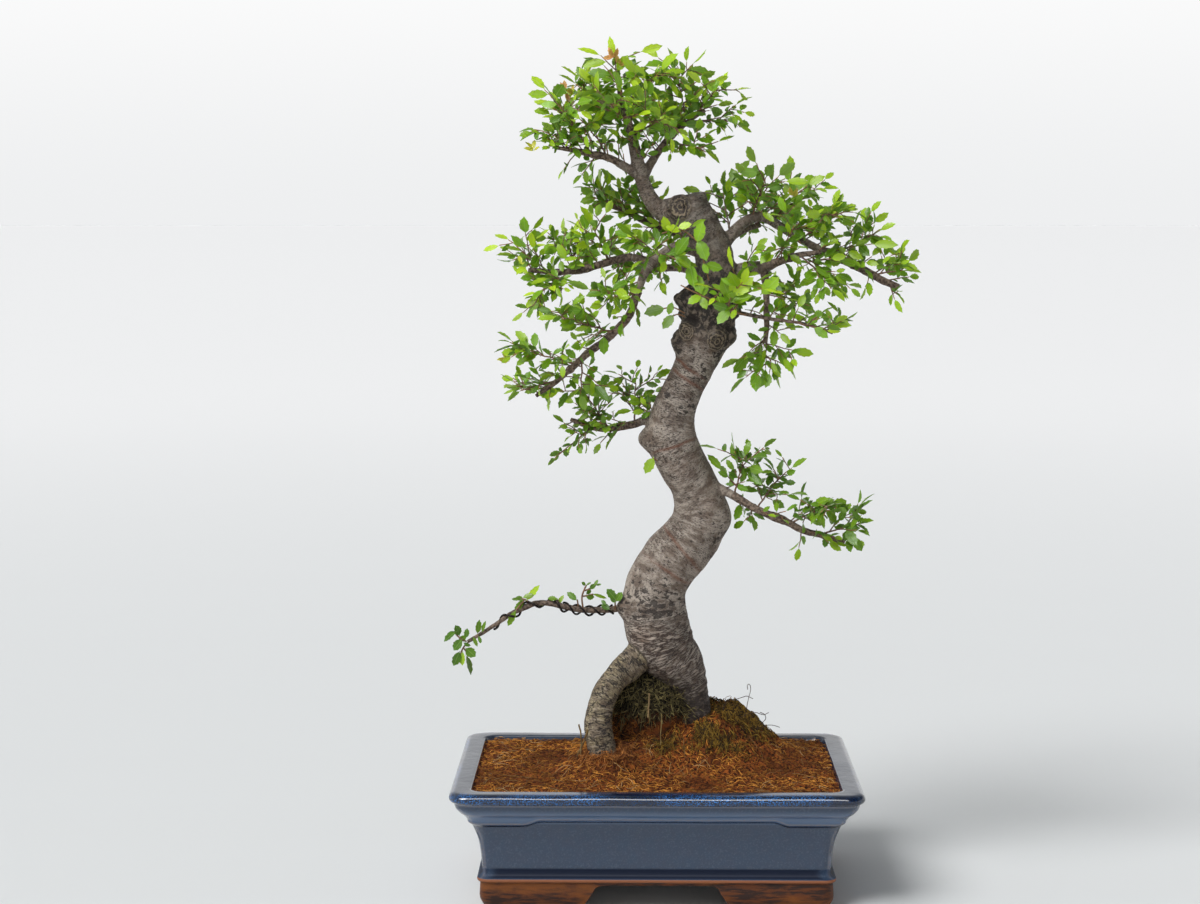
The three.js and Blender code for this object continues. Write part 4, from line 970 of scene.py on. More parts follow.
class Twig:
    """A straight-growing twig that droops a little, with its leaves to the left and right and one at the end."""

    def __init__(self, root, ahead, length, bare, ribs, hand, between, pitch=LEAF_PITCH, scale=1.0):
        facing = np.array([between(-0.8, 0.8), between(-1.2, 0.4), between(0.2, 0.9)])
        self.root, self.ahead, self.length, self.ribs = root, ahead, length, ribs
        self.across = unit(np.cross(facing, ahead))
        self.normal = np.cross(ahead, self.across)
        self.leaves = []
        at = bare
        while at < length - 6 * scale:
            size = between(13.5, 19) * scale
            self.leaves.append((at, hand, between(0.86, 0.96), size))
            at += pitch * scale
            hand = -hand
        self.leaves.append((length, 0, 0.0, between(14.5, 19.5) * scale))

    def point(self, along):
        fall = END_DROOP * along ** 2 / self.length
        return self.root + self.ahead * along - self.normal * fall

    def heading(self, along):
        return unit(self.ahead - self.normal * 2 * END_DROOP * along / self.length)


def grow_spray(seed, limb, station, tip, scale=1.0):
    """A leafy shoot with leafy twigs by turns left and right of it, by the solids' own rule."""
    draw = seeded_draw(seed)

    def between(low, high):
        return low + (high - low) * draw()

    start = Route(LIMBS[limb]).at(station)[0, :3]
    reach = np.linalg.norm(np.array(tip) - start)
    heading = unit(np.array(tip) - start)
    shoot = Twig(start, heading, reach, max(reach * 0.45, 12), (1, 0.6), 1, between, scale=scale)
    side = np.cross(heading, (0, 0, 1))
    side = unit(side) if np.linalg.norm(side) >= 0.5 else np.array([1.0, 0, 0])
    twigs = [shoot]
    count = max(4, int(reach / 7.5 + 0.5))
    for i in range(count):
        hand = 1 if i % 2 else -1
        ahead = heading * between(0.2, 0.75) + side * hand * between(0.5, 1)
        ahead = unit(ahead + np.array([0, 0, 1]) * between(-0.3, 0.75))
        root = shoot.point(reach * (0.25 + 0.65 * i / (count - 1)))
        length = between(17, 25) * scale
        twigs.append(Twig(root, ahead, length, 4.5 * scale, (0.7, 0.5), hand, between, scale=scale))
    return twigs


LEAF_ROWS = 10
LEAF_THICK = 0.32


def leaf_pattern():
    """One toothed leaf of unit length and half width: for each point how far along, out and up, and its faces."""
    share = np.linspace(0, 1, LEAF_ROWS - 1)
    half = np.sin(math.pi * share ** 0.9) ** 0.7
    half[0], half[-1] = 0.09, 0.03
    along = np.repeat(np.concatenate([[-0.1], share])[:, None], 4, axis=1)
    half = np.concatenate([[0.06], half])
    out = np.outer(half, [-1, 0, 1, 0])
    for row in range(2, LEAF_ROWS - 1):
        tooth = row % 2
        out[row, [0, 2]] *= 1.06 if tooth else 0.9
        along[row, [0, 2]] += 0.03 if tooth else -0.012
    up = np.tile([0, 0.5, 0, -0.5], LEAF_ROWS)
    grid = np.arange(along.size).reshape(along.shape)
    sides = [grid[:, [0, 1]], grid[:, [1, 2]], grid[:, [2, 3]], grid[:, [3, 0]]]
    quads = [np.stack([p[:-1, 0], p[1:, 0], p[1:, 1], p[:-1, 1]], axis=1) for p in sides]
    ends = np.stack([grid[0], grid[-1, ::-1]])
    return along.ravel(), out.ravel(), up, [np.concatenate(quads), ends]


def add_leaves(shape, leaves):
    """Adds leaves, each a row: root, ahead, normal (3 each), length, half width, fold, arch, shade, young, bud."""
    if not leaves:
        return
    table = np.array(leaves, float)
    root, ahead, normal = table[:, 0:3], unit(table[:, 3:6]), table[:, 6:9]
    across = unit(np.cross(normal, ahead))
    normal = np.cross(ahead, across)
    length, half, fold, arch = (table[:, k][:, None] for k in (9, 10, 11, 12))
    along, out, up, faces = leaf_pattern()
    x = length * along
    y = half * out
    ripple = 0.06 * half * np.sin(along * 17 + table[:, 13][:, None] * 40) * np.abs(out)
    z = fold * np.abs(y) - arch * x * np.abs(x) / length + ripple + up * LEAF_THICK
    points = root[:, None] + ahead[:, None] * x[..., None] + across[:, None] * y[..., None]
    points = points + normal[:, None] * z[..., None]
    count, each = points.shape[:2]
    groups = [(np.arange(count)[:, None, None] * each + group).reshape(-1, group.shape[1]) for group in faces]
    face = np.stack([out, along, (up < 0).astype(float)], axis=1)
    kind = np.repeat(table[:, 13:16], each, axis=0)
    shape.add(points.reshape(-1, 3), groups, 0, leaf_at=np.tile(face, (count, 1)), leaf_kind=kind)


def side_twigs(twigs, fullness, rng):
    """Twiglets with closer set and smaller leaves, all along the twigs, that fill a spray out."""
    more = []
    for twig in twigs:
        for _ in range(rng.poisson(fullness * twig.length / 16)):
            along = twig.length * rng.uniform(0.15, 0.95)
            hand = rng.choice([-1, 1])
            ahead = twig.heading(along) * rng.uniform(0.1, 0.9) + twig.across * hand * rng.uniform(0.3, 1)
            ahead = unit(ahead + twig.normal * rng.normal(0, 0.5))
            scale = rng.uniform(0.6, 0.85)
            length = rng.uniform(7, 15)
            more.append(Twig(twig.point(along), ahead, length, 2.5, (0.45, 0.4), hand, rng.uniform, scale=scale))
    return more


def limb_twigs(rows, start, count, rng):
    """Leafy twigs straight from a limb, more of them upwards than down."""
    walk = Route(rows).walk(1.0)
    twigs = []
    for share in np.linspace(start, 0.98, count) + rng.uniform(-0.02, 0.02, count):
        index = int(np.clip(share, 0, 1) * (len(walk.along) - 1))
        out = unit(rng.normal(0, 1, 3) + (0, -0.25, 0.8))
        out = unit(out - walk.ahead[index] * (out @ walk.ahead[index]))
        ahead = unit(out + walk.ahead[index] * rng.uniform(0.1, 1.1))
        root = walk.centre[index] + out * walk.radius[index] * 0.7
        scale = rng.uniform(0.65, 0.9)
        twigs.append(Twig(root, ahead, rng.uniform(10, 21), 3.5, (0.7, 0.45), 1, rng.uniform, scale=scale))
    return twigs


def leaf_rows(twig, rng, inside, young_and_lit, share_of_size):
    """The leaves of a twig as rows for add_leaves, with each turned a little its own way."""
    rows = []
    for at, hand, turn, size in twig.leaves:
        heading = twig.heading(at)
        turn = turn + rng.normal(0, 0.12)
        ahead = heading * math.cos(turn) + twig.across * hand * math.sin(turn)
        ahead = unit(ahead + rng.normal(0, 0.16, 3))
        normal = unit(twig.normal + rng.normal(0, 0.5, 3))
        share = at / twig.length
        size = size * share_of_size * rng.uniform(0.74, 1.08) * (0.78 if at == twig.leaves[0][0] else 1.0)
        root = twig.point(at) + ahead * size * 0.1
        middle = root + ahead * size * 0.55
        if inside(middle):
            continue
        young = young_and_lit * smooth(0.55, 1.1, share + rng.normal(0, 0.22))
        slim = 0.275 * rng.uniform(0.82, 1.15) * (1 - 0.25 * young)
        # Each leaf's shade is a random tone, painted lighter on young, lit sprays and darker on the low limbs
        rows.append([
            *root, *ahead, *normal, size, size * slim, rng.uniform(0.08, 0.42), rng.uniform(0.02, 0.2),
            rng.uniform(0.3, 1) * min(0.2 + young_and_lit, 1), young, 0,
        ])
    return rows


def add_twig(shape, twig, rng):
    """Adds a twig's own stem, which bends a little to and fro at each leaf."""
    count = max(int(twig.length / 5), 3)
    along = np.linspace(0, twig.length, count)
    sway = np.where(np.arange(count) % 2, 0.35, -0.35) * (along > 3)
    centres = np.array([twig.point(a) for a in along]) + twig.across * sway[:, None]
    radii = np.interp(along / twig.length, [0, 1], [twig.ribs[0] * 0.95, 0.4])
    points, faces = tubes(centres[None], radii[None], 5)
    young = np.repeat(smooth(0.5, 1.2, along / twig.length + rng.normal(0, 0.15)), 5)
    shape.add(points, faces, 1, young=young)


def wood_test():
    """A test of whether a point lies inside the wood."""
    walks = [Route(rows).walk(3.0) for rows in (TRUNK, ARCHED_ROOT, *LIMBS.values())]
    centres = np.concatenate([walk.centre for walk in walks])
    radii = np.concatenate([walk.radius for walk in walks])

    def inside(point):
        return bool(np.any(np.linalg.norm(centres - point, axis=1) < radii + 1.0))

    return inside


def build_foliage(settings):
    """A piece for each spray with its twigs and leaves, and the leaves that grow straight from the limbs."""
    materials = [leaf_material(settings), twig_material()]
    inside = wood_test()
    for number, (spray, node) in enumerate(zip(SPRAYS, SPRAY_NODES)):
        limb, _, tip, *_ = spray
        rng = np.random.default_rng(500 + number)
        if node in LOW_LEAVES:
            build_low_leaves(node, materials, rng)
            continue
        twigs = grow_spray(SPRAY_SEED + number, *spray)
        # The crown's top sprays and the young shoots get the lightest leaves, and the low limbs darker ones, which is
        # partly painted light and shade
        young_and_lit = 1.0 if tip[2] > 660 or limb in ("young_shoot", "middle_left") else 0.55
        young_and_lit = {"middle_right": 0.2, "small_left": 0.3}.get(limb, young_and_lit)
        twigs += side_twigs(twigs, FULLNESS[limb] * settings.fullness, rng)
        share = SMALL_LEAVES.get(limb, 1.0)
        leafy_piece("leaves_" + node[6:], twigs, materials, rng, inside, young_and_lit, [node], share)
    rng = np.random.default_rng(560)
    twigs = []
    for limb, (start, count) in LIMB_TWIGS.items():
        twigs += limb_twigs(LIMBS[limb], start, round(count * settings.fullness), rng)
    twigs += side_twigs(twigs, 1.0, rng)
    leafy_piece("leaves_along_limbs", twigs, materials, rng, inside, 0.5)
    build_fresh_leaves(materials)


def make_leaves(shape, name, materials, nodes=()):
    """A piece of leaves, smooth over each blade and sharp at its edges."""
    shape.make(name, materials, "leaf", nodes).data.set_sharp_from_angle(angle=LEAF_CREASE)


def leafy_piece(name, twigs, materials, rng, inside, young_and_lit, nodes=(), share_of_size=1.0):
    """One piece of twigs with their leaves."""
    shape = Shape()
    rows = []
    for twig in twigs:
        add_twig(shape, twig, rng)
        rows += leaf_rows(twig, rng, inside, young_and_lit, share_of_size)
    add_leaves(shape, rows)
    make_leaves(shape, name, materials, nodes)


def build_low_leaves(node, materials, rng):
    """The leaves of one of the low limb's sprays, each where it grows, on their thin twigs."""
    shape = Shape()
    y, leaves = LOW_LEAVES[node]
    for twig in LOW_TWIGS[node]:
        walk = Route([(*row, 0.75) for row in twig]).walk(1.5)
        points, faces = tubes(walk.centre[None], walk.radius[None], 6)
        shape.add(points, faces, 1, young=np.full(len(points), 0.2))
    rows = []
    for x, z, tip_x, tip_z, wide, young in leaves:
        root = np.array([x, y + rng.uniform(-2, 2), z])
        ahead = np.array([tip_x - x, rng.uniform(-3, 3), tip_z - z])
        size = np.linalg.norm(ahead)
        normal = unit(np.array([0, -1, 0.3]) + rng.normal(0, 0.3, 3))
        # The low limb's leaves are painted dark, as painted shade
        rows.append([*root, *ahead, *normal, size, size * wide, 0.25, 0.08, rng.uniform(0, 0.25), young * 0.8, 0])
    add_leaves(shape, rows)
    make_leaves(shape, "leaves_" + node[6:], materials, [node])


def build_fresh_leaves(materials):
    """The big fresh leaves that hang in front of the trunk, with their thin twigs."""
    rng = np.random.default_rng(600)
    shape = Shape()
    for twig in FRESH_TWIGS:
        walk = Route([(*row, 0.55) for row in twig]).walk(2.0)
        points, faces = tubes(walk.centre[None], walk.radius[None], 6)
        shape.add(points, faces, 1, young=np.full(len(points), 0.5))
    rows = []
    for *ends, young in FRESH_LEAVES:
        root, tip = np.array(ends[:3], float), np.array(ends[3:], float)
        size = np.linalg.norm(tip - root)
        normal = unit(np.array([-0.2, -1, 0.45]) + rng.normal(0, 0.25, 3))
        shade = rng.uniform(0.3, 1)
        rows.append([*root, *(tip - root), *normal, size, size * 0.3, 0.22, 0.08, shade, young, 0])
    for x, y, z, count, red in BUDS:
        for _ in range(count):
            ahead = unit(rng.normal(0, 0.6, 3) + (-0.3, -0.3, 0.7))
            root = np.array([x, y, z]) + ahead * rng.uniform(0, 3)
            size = rng.uniform(6, 11)
            normal = unit(rng.normal(0, 0.5, 3) + (0, -1, 0.4))
            rows.append([*root, *ahead, *normal, size, size * 0.24, 0.4, 0.15, rng.uniform(0, 1), 1.0, red])
    add_leaves(shape, rows)
    make_leaves(shape, "leaves_over_trunk", materials)


# Soil

MOUND_MIDDLE = (30, 8)
SOIL_EDGE = 102
RIM_INSET = 18.6
SOIL_SIDE = [(39.6, 34), (34.6, 42), (24.6, 88), (19.4, 99.5)]
MOSS_CLUMP = ((-3, 8, 143), (37, 19, 51))


def soil_height(x, y):
    """Height of the soil's surface: the solids' heap, but lower and ending sooner to the right of the trunk."""
    def bell(cx, cy, wide_x, wide_y):
        return np.exp(-((x - cx) / wide_x) ** 2 - ((y - cy) / wide_y) ** 2)

    heap = np.minimum(66 * bell(42, 26, np.where(x > 42, 60, 76), 48), 48) + 17 * bell(-47, -30, 34, 30)
    flat = np.stack([x.ravel(), y.ravel(), 0 * x.ravel()], axis=1)
    lumps = layered(flat, 9, 4, 31).reshape(x.shape) * (1.5 + 0.045 * heap)
    return SOIL_EDGE + heap + lumps + 0.9 * np.sin(x * 0.21) * np.cos(y * 0.17)


def rounded_ring(half_x, half_y, corner, per_corner, per_x, per_y):
    """Points round a rounded rectangle, counterclockwise from above, with so many along each straight side."""
    points = []
    for quarter, (sign_x, sign_y) in enumerate(((1, 1), (-1, 1), (-1, -1), (1, -1))):
        turn = (quarter + np.linspace(0, 1, per_corner)) * math.pi / 2
        middle = np.array([sign_x * (half_x - corner), sign_y * (half_y - corner)])
        arc = middle + corner * np.stack([np.cos(turn), np.sin(turn)], axis=1)
        points.append(arc)
        following = ((-1, 1), (-1, -1), (1, -1), (1, 1))[quarter]
        turn_end = (quarter + 1) * math.pi / 2
        target = np.array([following[0] * (half_x - corner), following[1] * (half_y - corner)])
        target = target + corner * np.array([math.cos(turn_end), math.sin(turn_end)])
        share = np.linspace(0, 1, (per_x if quarter % 2 == 0 else per_y) + 2)[1:-1, None]
        points.append(arc[-1] + (target - arc[-1]) * share)
    return np.concatenate(points)


def stacked_faces(levels, around):
    """Faces between rings of points stacked one above another, counterclockwise from above."""
    level = (np.arange(levels - 1) * around)[:, None]
    here = np.arange(around)
    there = (here + 1) % around
    quads = np.stack([level + here, level + there, level + there + around, level + here + around], axis=-1)
    return quads.reshape(-1, 4)


def closed_stack(levels, around):
    """The faces of such a stack with its bottom and its top closed."""
    bottom = np.arange(around)
    return [stacked_faces(levels, around), bottom[::-1][None], (bottom + (levels - 1) * around)[None]]


def build_soil(settings):
    """The soil with its crumbs, and a lumpy clump of moss and soil under the arched root."""
    material = soil_material(settings)
    edge = rounded_ring(RIM_WIDTH / 2 - RIM_INSET, RIM_DEPTH / 2 - RIM_INSET, 12, 7, 100, 72)
    middle = np.array(MOUND_MIDDLE)
    rings = []
    for inset, z in SOIL_SIDE:
        flat = edge * (1 - (inset - RIM_INSET) / np.array([RIM_WIDTH / 2 - RIM_INSET, RIM_DEPTH / 2 - RIM_INSET]))
        rings.append(np.column_stack([flat, np.full(len(flat), z)]))
    for share in np.linspace(1, 0.01, 56):
        flat = middle + (edge - middle) * share
        height = soil_height(flat[:, 0], flat[:, 1])
        drop = 1.5 * smooth(0.97, 1.0, share)
        rings.append(np.column_stack([flat, height - drop]))
    points = np.concatenate(rings)
    shape = Shape()
    shape.add(points, closed_stack(len(rings), len(edge)))
    turn = np.linspace(0, 2 * math.pi, CLUMP_SIDES, endpoint=False)
    lift = np.linspace(-0.98, 0.98, CLUMP_LEVELS) * math.pi / 2
    rows = [[(math.cos(a) * math.cos(t), math.cos(a) * math.sin(t), math.sin(a)) for t in turn] for a in lift]
    ball = np.array(rows).reshape(-1, 3) * MOSS_CLUMP[1] + MOSS_CLUMP[0]
    ball = ball + unit(ball - MOSS_CLUMP[0]) * (2.4 * layered(ball, 9, 4, 33))[:, None]
    shape.make("soil_bed", [material], "soil", ["soil"])
    clump = Shape()
    shade = np.clip(smooth(160, 138, ball[:, 2]) * (0.35 + 0.6 * layered(ball, 5, 3, 34)), 0, 1)
    clump.add(ball, closed_stack(CLUMP_LEVELS, CLUMP_SIDES), shade=shade)
    clump.make("moss_clump", [fibre_material("dead_moss", linear("#14100a"), settings.soil_colour)], "moss")


def strands(rng, starts, headings, lengths, radii, curl, lift, count=4):
    """Curly strands that lie on the soil: the centres and radii of their tubes."""
    total = len(starts)
    share = np.linspace(0, 1, count)
    bend = rng.normal(0, curl, (total, 1)) * share + rng.normal(0, curl * 0.5, (total, 1)) * share ** 2
    angle = headings[:, None] + bend
    stride = (lengths / (count - 1))[:, None]
    laid = []
    for start, way, side in ((starts[:, :1], np.cos(angle), RIM_WIDTH), (starts[:, 1:], np.sin(angle), RIM_DEPTH)):
        gone = np.concatenate([np.zeros((total, 1)), np.cumsum(way * stride, axis=1)[:, :-1]], axis=1)
        reach = side / 2 - RIM_INSET - 1
        laid.append(np.clip(start + gone, -reach, reach))
    x, y = laid
    arch = np.sin(math.pi * share) * rng.uniform(0.2, 1, (total, 1)) * lift
    tilt = (share - 0.5) * rng.normal(0, lift * 0.5, (total, 1))
    centres = np.stack([x, y, soil_height(x, y) + 0.3 + arch + np.abs(tilt)], axis=2)
    taper = np.interp(share, [0, 0.15, 0.8, 1], [0.6, 1, 0.9, 0.4])
    return centres, radii[:, None] * taper


def build_fibres(settings):
    """Coir fibres and a few paler straws over the soil, with more of them banked round the arched root."""
    half = (RIM_WIDTH / 2 - RIM_INSET - 2, RIM_DEPTH / 2 - RIM_INSET - 2)
    kinds = [
        ("coir_fibres", settings.fibres, (0, 0), half, (2, 8), (0.16, 0.32), 1.0, 1.3, "#4a2009",
         settings.coir_colour),
        ("straws", 320, (0, 0), half, (8, 22), (0.2, 0.36), 0.8, 1.8, "#6a4420", linear("#d9b27c")),
        ("root_fibres", 420, (-44, -36), (24, 13), (5, 13), (0.18, 0.34), 1.2, 5.0, "#4a2210", linear("#d58c48")),
    ]
    for seed, (name, count, middle, reach, lengths, radii, curl, lift, dark, light) in enumerate(kinds):
        rng = np.random.default_rng(700 + seed)
        starts = rng.uniform(-1, 1, (count, 2)) * reach + middle
        material = fibre_material(name + "_dry", linear(dark), light)
        centres, thick = strands(
            rng, starts, rng.uniform(0, 2 * math.pi, count), rng.uniform(*lengths, count), rng.uniform(*radii, count),
            curl, lift,
        )
        points, faces = tubes(centres, thick, 3)
        shape = Shape()
        patch = layered(np.column_stack([starts, 0 * starts[:, 0]]), 34, 2, 44)
        shade = np.clip(rng.uniform(0, 1, count) ** 1.4 * (1.15 + 0.9 * patch), 0, 1)
        shape.add(points, faces, shade=np.repeat(shade, len(points) // count))
        shape.make(name, [material], "soil")


def tufts(rng, roots, ways, length, radius):
    """Short blades that stand on a surface: the centres and radii of their tubes."""
    count = len(roots)
    tall = rng.uniform(0.5, 1, (count, 1, 1)) * length
    share = np.array([0, 0.5, 1])[None, :, None]
    lean = rng.normal(0, 0.5, (count, 1, 3))
    centres = roots[:, None] + tall * (ways[:, None] * share + lean * share ** 2 * 0.7)
    radii = radius * rng.uniform(0.7, 1.2, (count, 1)) * np.array([1, 0.8, 0.25])
    return centres, radii


def build_moss(settings):
    """Moss on the mound, and on the clump under the arch old moss that hangs above and fibres below."""
    rng = np.random.default_rng(800)
    count = settings.moss_blades
    spots = [(82, 20, 20, 20), (66, 10, 20, 16), (8, -20, 16, 8), (56, -20, 24, 9), (40, 44, 40, 18), (44, -14, 9, 7)]
    pick = rng.choice(len(spots), count, p=[0.34, 0.22, 0.08, 0.12, 0.16, 0.08])
    table = np.array(spots, float)[pick]
    starts = table[:, :2] + rng.normal(0, 0.5, (count, 2)) * table[:, 2:]
    lengths, radii = rng.uniform(3, 9, count), rng.uniform(0.22, 0.46, count)
    centres, thick = strands(rng, starts, rng.uniform(0, 2 * math.pi, count), lengths, radii, 2.0, 3.0)
    points, faces = tubes(centres, thick, 3)
    shape = Shape()
    shape.add(points, faces, shade=np.repeat(rng.uniform(0, 1, count) ** 1.6, len(points) // count))
    shape.make("moss", [fibre_material("creeping_moss", linear("#241a0b"), settings.moss_colour)], "moss")
    kinds = [
        ("old_moss", 3400, "#1e190f", "#a89a66", 11, 0.6, (0, -0.25, -0.75), 0.55),
        ("clump_fibres", 3000, "#2e1509", "#c8843f", 8, 0.34, (0, -0.2, 0.1), 1.0),
    ]
    for name, count, dark, light, length, radius, fall, spread in kinds:
        way = unit(rng.normal(0, 1, (count * 3, 3)))
        way[:, 1] = np.abs(way[:, 1]) * np.where(rng.uniform(size=len(way)) < 0.25, 1, -1)
        roots = np.array(MOSS_CLUMP[0]) + way * MOSS_CLUMP[1]
        height = roots[:, 2] + 9 * noise(roots, 9, 51)
        roots, way = (values[(height > 149) == (name == "old_moss")][:count] for values in (roots, way))
        way = unit(way * 0.55 + fall + rng.normal(0, spread, way.shape))
        points, faces = tubes(*tufts(rng, roots, way, length, radius), 3)
        shape = Shape()
        shape.add(points, faces, shade=np.repeat(rng.uniform(0, 1, len(roots)) ** 2, 9))
        shape.make(name, [fibre_material(name + "_dry", linear(dark), linear(light))], "moss")


# A dry stalk by the root, a broken stick under the arch and bare rootlets on the mound, as points (x, y, z)
STALKS = {
    "dry_stalk": (0.7, "#a08655", [(-65, -34, 104), (-66, -34, 118), (-65, -33, 132), (-67, -33, 146)]),
    "bent_stalk": (0.8, "#8a7044", [(-72, -30, 106), (-68, -32, 120), (-62, -35, 133), (-60, -36, 142)]),
    "broken_stick": (0.9, "#a98f63", [(-7, -24, 150), (-7, -23, 157), (-6, -22, 164), (-6, -21, 171)]),
    "straw_upright": (0.5, "#b3995f", [(4, -26, 126), (4, -27, 136), (5, -27, 146), (5, -26, 154)]),
    "rootlet_tall": (0.3, "#4a3d33", [
        (78, 10, 139), (80, 10, 150), (82, 9, 161), (84, 8, 169), (83, 8, 174), (81, 8, 173), (81, 8, 169),
    ]),
    "rootlet_bent": (0.3, "#4a3d33", [
        (60, 4, 146), (60, 3, 154), (64, 2, 160), (72, 2, 162), (80, 3, 164), (86, 4, 162),
    ]),
    "rootlet_low": (0.28, "#4a3d33", [(72, 6, 142), (80, 6, 147), (88, 5, 149), (95, 5, 147), (100, 5, 149)]),
    "rootlet_side": (0.3, "#3b2f27", [(87, 8, 131), (93, 7, 138), (97, 6, 143), (96, 6, 147), (92, 6, 149)]),
    "rootlet_fork": (0.28, "#3b2f27", [(87, 8, 131), (95, 8, 136), (103, 9, 137), (110, 10, 135)]),
}


def build_stalks():
    """The stalks and rootlets that stand out of the soil."""
    for name, (radius, colour, rows) in STALKS.items():
        walk = Route([(*row, radius) for row in rows]).walk(1.0)
        wobble = np.stack([noise(walk.centre, 5, k) for k in (1, 2, 3)], axis=1)
        points, faces = tubes((walk.centre + 0.5 * wobble)[None], walk.radius[None], 6)
        shape = Shape()
        shape.add(points, faces, shade=np.full(len(points), 0.5) + 0.4 * noise(points, 3, 5))
        material = fibre_material(name + "_dry", linear("#3a2c20"), linear(colour))
        shape.make(name, [material], "soil")


# Pot

# The outer wall in section, as (inset from the rim's edge, height), from the rim's flat top to the foot
OUTER_WALL = [
    (17.4, 105), (12, 105.1), (6, 105), (3, 104.4), (1, 103), (0, 100.6), (0.5, 98.3), (2.0, 96.8), (3.6, 95.8),
    (4.4, 93.5), (5.4, 90.6), (7.6, 87.6), (11.4, 84.0), (14.8, 79.6), (17.6, 74), (20.4, 67), (22.4, 60.5),
    (23.8, 52), (24.6, 45), (25.0, 39), (25.4, 36.4), (25.8, 34.4), (25.9, 32.4), (25.5, 30.6), (24.4, 29.2),
    (22.6, 27.8), (22.9, 25.4), (24.6, 24.2), (25.0, 23.4), (24.8, 18), (24.6, 11), (26.6, 5.5), (29.5, 0),
]
INNER_WALL = [(18.2, 104.4), (19, 102), (24, 88), (34, 42), (39, 32)]
RIM_CORNER = 17
FRONT_PANEL = {"half": 138, "low": 29, "high": 80}
SIDE_PANEL = {"half": 94, "low": 29, "high": 80}
PANEL_STEP = {"from": 26, "to": 40, "drop": 4.5}
FOOT_HEIGHT = 22.5
GLAZE_END = 28.2
GROOVE_TOP = 36
UNDERSIDE = (252, 166)
FRONT_GAP = (50, 65)
SIDE_GAP = (38, 50)
DRAIN_HOLES = (-78, 78)
DRAIN_RADIUS = 9


def wall_levels():
    """The wall's section with extra levels, smoothly joined, from the middle of the floor round to the foot."""
    last = len(OUTER_WALL) - 1
    # The levels are closest at the panels' top
    stations = np.interp(np.linspace(0, 1, WALL_LEVELS), [0, 0.38, 0.6, 1], [0, 12.4, 14.8, last])
    outer = Route([(inset, 0, z, 0) for inset, z in OUTER_WALL]).at(stations)
    inner = Route([(inset, 0, z, 0) for inset, z in INNER_WALL]).at(np.linspace(0, len(INNER_WALL) - 1, 12))
    return np.concatenate([inner[::-1], outer])[:, [0, 2]]


def panel_distance(along, z, panel):
    """How far a point of a wall lies off the panel, negative on it. The panel's top steps down at the corners."""
    inward = panel["half"] - np.abs(along)
    top = panel["high"] - PANEL_STEP["drop"] * (1 - smooth(PANEL_STEP["from"], PANEL_STEP["to"], inward))
    return np.maximum(z - top, panel["low"] - z)


def cutter(name, points, faces, materials):
    """A solid that is only used to cut the pot."""
    shape = Shape()
    shape.add(points, faces, 1)
    piece = shape.make(name, materials, "glaze", rides=False)
    return piece


def bar_cutter(name, half_top, half_bottom, length, along_x, materials):
    """A bar with a rounded trapezium section, for the gap between two feet."""
    rise = FOOT_HEIGHT
    round_off = [(half_top + 4.2, rise - 6.5), (half_top + 2.2, rise - 2.6), (half_top - 1.6, rise - 0.5)]
    half = [(half_bottom + 0.6, -1), *round_off, (half_top - 7, rise)]
    section = np.array(half + [(-x, z) for x, z in half[::-1]])
    rings = []
    for end in (-length / 2, length / 2):
        ends = np.full(len(section), end)
        rings.append(np.column_stack([ends, section] if along_x else [section[:, 0], -ends, section[:, 1]]))
    return cutter(name, np.concatenate(rings), closed_stack(2, len(section)), materials)


def box_cutter(name, width, depth, low, high, materials):
    corners = rounded_ring(width / 2, depth / 2, 4, 4, 2, 2)
    rings = [np.column_stack([corners, np.full(len(corners), z)]) for z in (low, high)]
    return cutter(name, np.concatenate(rings), closed_stack(2, len(corners)), materials)


def drain_cutter(name, x, materials):
    points, faces = tubes(np.array([[(x, 0, 10), (x, 0, 30), (x, 0, 50)]], float), np.full((1, 3), DRAIN_RADIUS), 24)
    return cutter(name, points, faces, materials)


